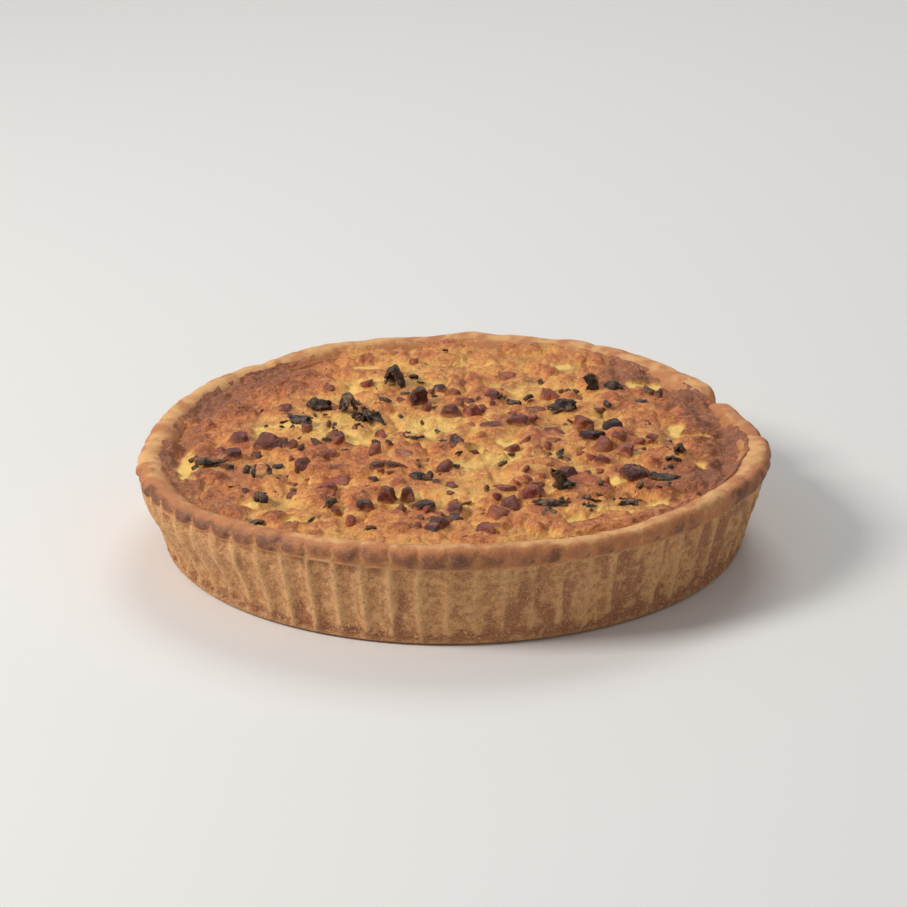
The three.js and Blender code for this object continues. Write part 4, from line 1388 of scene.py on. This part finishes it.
# %% Finish of the leek
def leek_material():
    """Nearly black brown, with a painted grey sheen along the ribs, brown edges painted as light showing
    through them, and tan where less charred.
    """
    material, wire, shader = start_material("charred_leek")
    place = wire.place()
    patches = wire.noise(place, 300.0, detail=4.0, roughness=0.6)
    fine = wire.noise(place, 1500.0, detail=3.0)
    green = wire.mix(wire.span(fine, 0.4, 0.6), srgb(104, 78, 44), srgb(150, 108, 64))
    char = wire.mix(wire.span(patches, 0.35, 0.65), srgb(30, 22, 18), srgb(58, 42, 32))
    color = wire.tint(char, wire.attribute("green"), wire.span(patches, 0.42, 0.58), green)
    # painted grey sheen along the rib crests
    color = wire.tint(color, wire.span(wire.attribute("rib_sheen"), 0.55, 1.0), 0.40, srgb(96, 80, 70))
    # painted light showing through the thin edges, in brown
    color = wire.tint(color, wire.attribute("edge"), 0.35, srgb(112, 76, 46))
    wire.feed(shader.inputs["Base Color"], color)
    wire.feed(shader.inputs["Roughness"], wire.span(fine, 0.3, 0.7, 0.36, 0.60))
    wire.bump(shader, fine, 0.7, 0.0004)
    return material


LEEK = leek_material()


# %% Make the leek pieces
def strip_direction(node):
    """Which way a strip was drawn along. Its cut ends face exactly along it and its other faces
    exactly across, so along that direction every face's slope is nearly 0 or 1."""
    faces = node_faces(node)
    normal = np.cross(faces[:, 1] - faces[:, 0], faces[:, 2] - faces[:, 0])
    area = np.linalg.norm(normal, axis=1)
    unit = normal / np.maximum(area, 1e-9)[:, None]
    turns = np.radians(np.arange(0, 180, 1.0))
    ways = np.stack([np.cos(turns), np.sin(turns)], axis=-1)
    slopes = np.abs(unit[:, :2] @ ways.T)
    doubt = (area[:, None] * slopes * (1 - slopes)).sum(axis=0)
    return ways[np.argmin(doubt)]


def strip_frame(node):
    """Kind, middle, directions and size of a leek strip, from its CAD node, in mm."""
    kind = node.split("_")[1]
    along = toppings[node]["along"] if kind == "blade" else strip_direction(node)
    side = np.array([-along[1], along[0]])
    plan = node_points(node)[:, :2] / MM
    reach = plan @ np.stack([along, side], axis=1)
    centre = (reach.min(axis=0) + reach.max(axis=0)) / 2
    size = reach.max(axis=0) - reach.min(axis=0)
    return kind, centre @ np.stack([along, side]), along, side, size


def leek_piece(node, number):
    """One leek piece for one CAD node, set on its place. The ribbons' paths run across it."""
    kind, middle, along, side, size = strip_frame(node)
    topping = toppings[node]
    rise = topping["high"] - topping["low"]
    leek_luck = np.random.default_rng(900 + number)
    local, attributes = ribbon_rings(kind, size[0], size[1], rise + LEEK_SINK, leek_luck, 610 + 9 * number)
    plan = middle + local[..., :1] * along + local[..., 1:2] * side
    points = np.concatenate([plan, topping["low"] - LEEK_SINK + local[..., 2:]], axis=-1)
    attributes["green"] = leek_luck.uniform(0.0, 0.9, (RIBBONS, 1, 1)) * np.ones(points.shape[:-1])
    return joined_rings(node + "_strip", points * MM, attributes, LEEK)


for number, node in enumerate(leek_nodes):
    strip = leek_piece(node, number)
    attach(strip, "root")
    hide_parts(node)
print(len(leek_nodes), "leek pieces made, each of", RIBBONS * RIBBON_ROWS * RIBBON_COLUMNS * 4, "triangles")

# %% [markdown]
# ## Shreds, herbs and crumbs
# Small shreds of leek and flecks of dried herb lie all over the custard, and pale crumbs of dough stick to
# the foot of the wall. Each kind is one piece.

# %% Make the small shreds of leek
# right of the middle, behind the middle, length across, all in mm
LARGER_SHREDS = [
    (-81, 36, 4), (-62, 29, 5), (-105, -26, 3), (-68, -39, 4), (-17, 71, 4), (-14, 66, 4), (-8, 51, 3),
    (-29, 44, 5), (26, 39, 6), (32, 41, 4), (84, 58, 5), (79, 37, 7), (-63, -60, 4), (-48, -77, 6),
    (5, -73, 4), (37, -89, 8), (45, -63, 5), (57, -65, 4), (88, -15, 7), (90, -30, 6), (86, -36, 5),
    (42, -20, 7), (-83, -35, 5), (-77, -90, 11), (20, -30, 4), (13, -62, 3),
]
shred_list = np.array(LARGER_SHREDS, float)
leek_middles = np.array([toppings[name]["middle"] for name in leek_nodes])
near_leek = scatter_places(46, leek_middles, 8.0, 51, 0.4)
anywhere = scatter_places(40, np.zeros((1, 2)), 60.0, 52)
shred_places = np.concatenate([shred_list[:, :2], near_leek, anywhere])
shred_luck = np.random.default_rng(53)
shred_count = len(shred_places)
shred_length = np.concatenate([
    shred_list[:, 2], shred_luck.uniform(1.8, 4.5, shred_count - len(shred_list)),
])
SHRED_ROWS, SHRED_COLUMNS = 6, 4
SHRED_HALF_THICKNESS = 0.28


def shred_rings():
    """Closed strips, four points over and four back: a curled middle line across, narrowing to the
    ends, with the middle raised and each strip bent by its own amount."""
    s = np.linspace(-1, 1, SHRED_ROWS)[None, :, None]
    t = np.linspace(-1, 1, SHRED_COLUMNS)[None, None, :]
    length = shred_length[:, None, None] / 2
    width = length * shred_luck.uniform(0.35, 0.75, (shred_count, 1, 1))
    bend = shred_luck.uniform(-0.5, 1.1, (shred_count, 1, 1))
    rough = shred_luck.uniform(-0.22, 0.22, (shred_count, SHRED_ROWS, SHRED_COLUMNS))
    y = width * t * (1 - 0.35 * s**2) * (1 + rough)
    x = length * s * (1 + rough[:, ::-1])
    z = bend * width * (1 - t**2) + 0.35 * length * (1 - s**2) * bend + 0.4 * length * rough
    over = np.stack([x, y, z + SHRED_HALF_THICKNESS], axis=-1)
    back = np.stack([x, y, z - SHRED_HALF_THICKNESS], axis=-1)[:, :, ::-1]
    return np.concatenate([over, back], axis=2)


shred_local = shred_rings()
shred_points = set_down(
    shred_local, shred_places, shred_luck.uniform(-0.8, 0.1, shred_count),
    shred_luck.uniform(0, 2 * np.pi, shred_count), shred_luck.uniform(0, 0.7, shred_count),
    shred_luck.uniform(0, 2 * np.pi, shred_count),
)
# a painted grey sheen, at random on the shreds
shred_attributes = {
    "rib_sheen": shred_luck.uniform(0, 1, (shred_count, SHRED_ROWS, 2 * SHRED_COLUMNS)),
    "edge": np.zeros((1, 1, 1)),
    "green": shred_luck.uniform(0, 1, (shred_count, 1, 1)),
}
small_leek = joined_rings("small_leek", shred_points * MM, shred_attributes, LEEK)
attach(small_leek, "root")
print(shred_count, "shreds,", len(small_leek.data.polygons), "faces")

# %% Make the herb flecks
FLECKS = 170
FLECK_RADIUS = 110.0                # the flecks lie evenly inside this circle
fleck_luck = np.random.default_rng(61)
fleck_radius = FLECK_RADIUS * np.sqrt(fleck_luck.uniform(0, 1, FLECKS))
fleck_turn = fleck_luck.uniform(0, 2 * np.pi, FLECKS)
fleck_places = np.stack([fleck_radius * np.cos(fleck_turn), fleck_radius * np.sin(fleck_turn)], axis=-1)
fleck_size = fleck_luck.uniform(0.35, 0.95, FLECKS)[:, None, None, None]
fleck_local = directions(2, 5) * [1.0, 0.55, 0.4] * fleck_size
fleck_points = set_down(
    fleck_local, fleck_places, np.full(FLECKS, 0.05), fleck_luck.uniform(0, 2 * np.pi, FLECKS),
    fleck_luck.uniform(0, 0.5, FLECKS), fleck_luck.uniform(0, 2 * np.pi, FLECKS),
)
fleck_attributes = {
    "rib_sheen": np.zeros((1, 1, 1)),
    "edge": np.zeros((1, 1, 1)),
    "green": fleck_luck.uniform(0, 1, (FLECKS, 1, 1)),
}
herb_flecks = joined_rings("herb_flecks", fleck_points * MM, fleck_attributes, LEEK)
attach(herb_flecks, "root")
print(FLECKS, "herb flecks")

# %% Make the crumbs on the wall
CRUMBS = 520
crumb_luck = np.random.default_rng(67)
wall_rows = np.flatnonzero(on_wall & (section_place > 5))
crumb_column = crumb_luck.integers(0, COLUMNS, CRUMBS)
rows_up = (crumb_luck.exponential(0.16, CRUMBS) * len(wall_rows)).astype(int)
crumb_row = wall_rows[np.minimum(rows_up, len(wall_rows) - 4)]
crumb_middle = to_points(pastry_radius, pastry_height)[crumb_row, crumb_column] / MM
crumb_middle[:, 2] = np.maximum(crumb_middle[:, 2], 0.8)
crumb_size = crumb_luck.uniform(0.28, 0.62, CRUMBS)[:, None, None, None]
uneven = crumb_luck.uniform(0.75, 1.25, (CRUMBS, 3, 5, 1))
crumb_points = crumb_middle[:, None, None] + directions(3, 5) * crumb_size * uneven
crumb_attributes = {key: np.zeros((1, 1, 1)) for key in pastry_attributes}
crumb_attributes["flour_and_highlight"] = crumb_luck.uniform(0.4, 1.0, (CRUMBS, 1, 1))
crumb_attributes["crumbs"] = np.ones((1, 1, 1))
crumbs_piece = joined_rings("wall_crumbs", crumb_points * MM, crumb_attributes, pastry.data.materials[0])
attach(crumbs_piece, "root")
print(CRUMBS, "crumbs,", len(crumbs_piece.data.polygons), "faces")
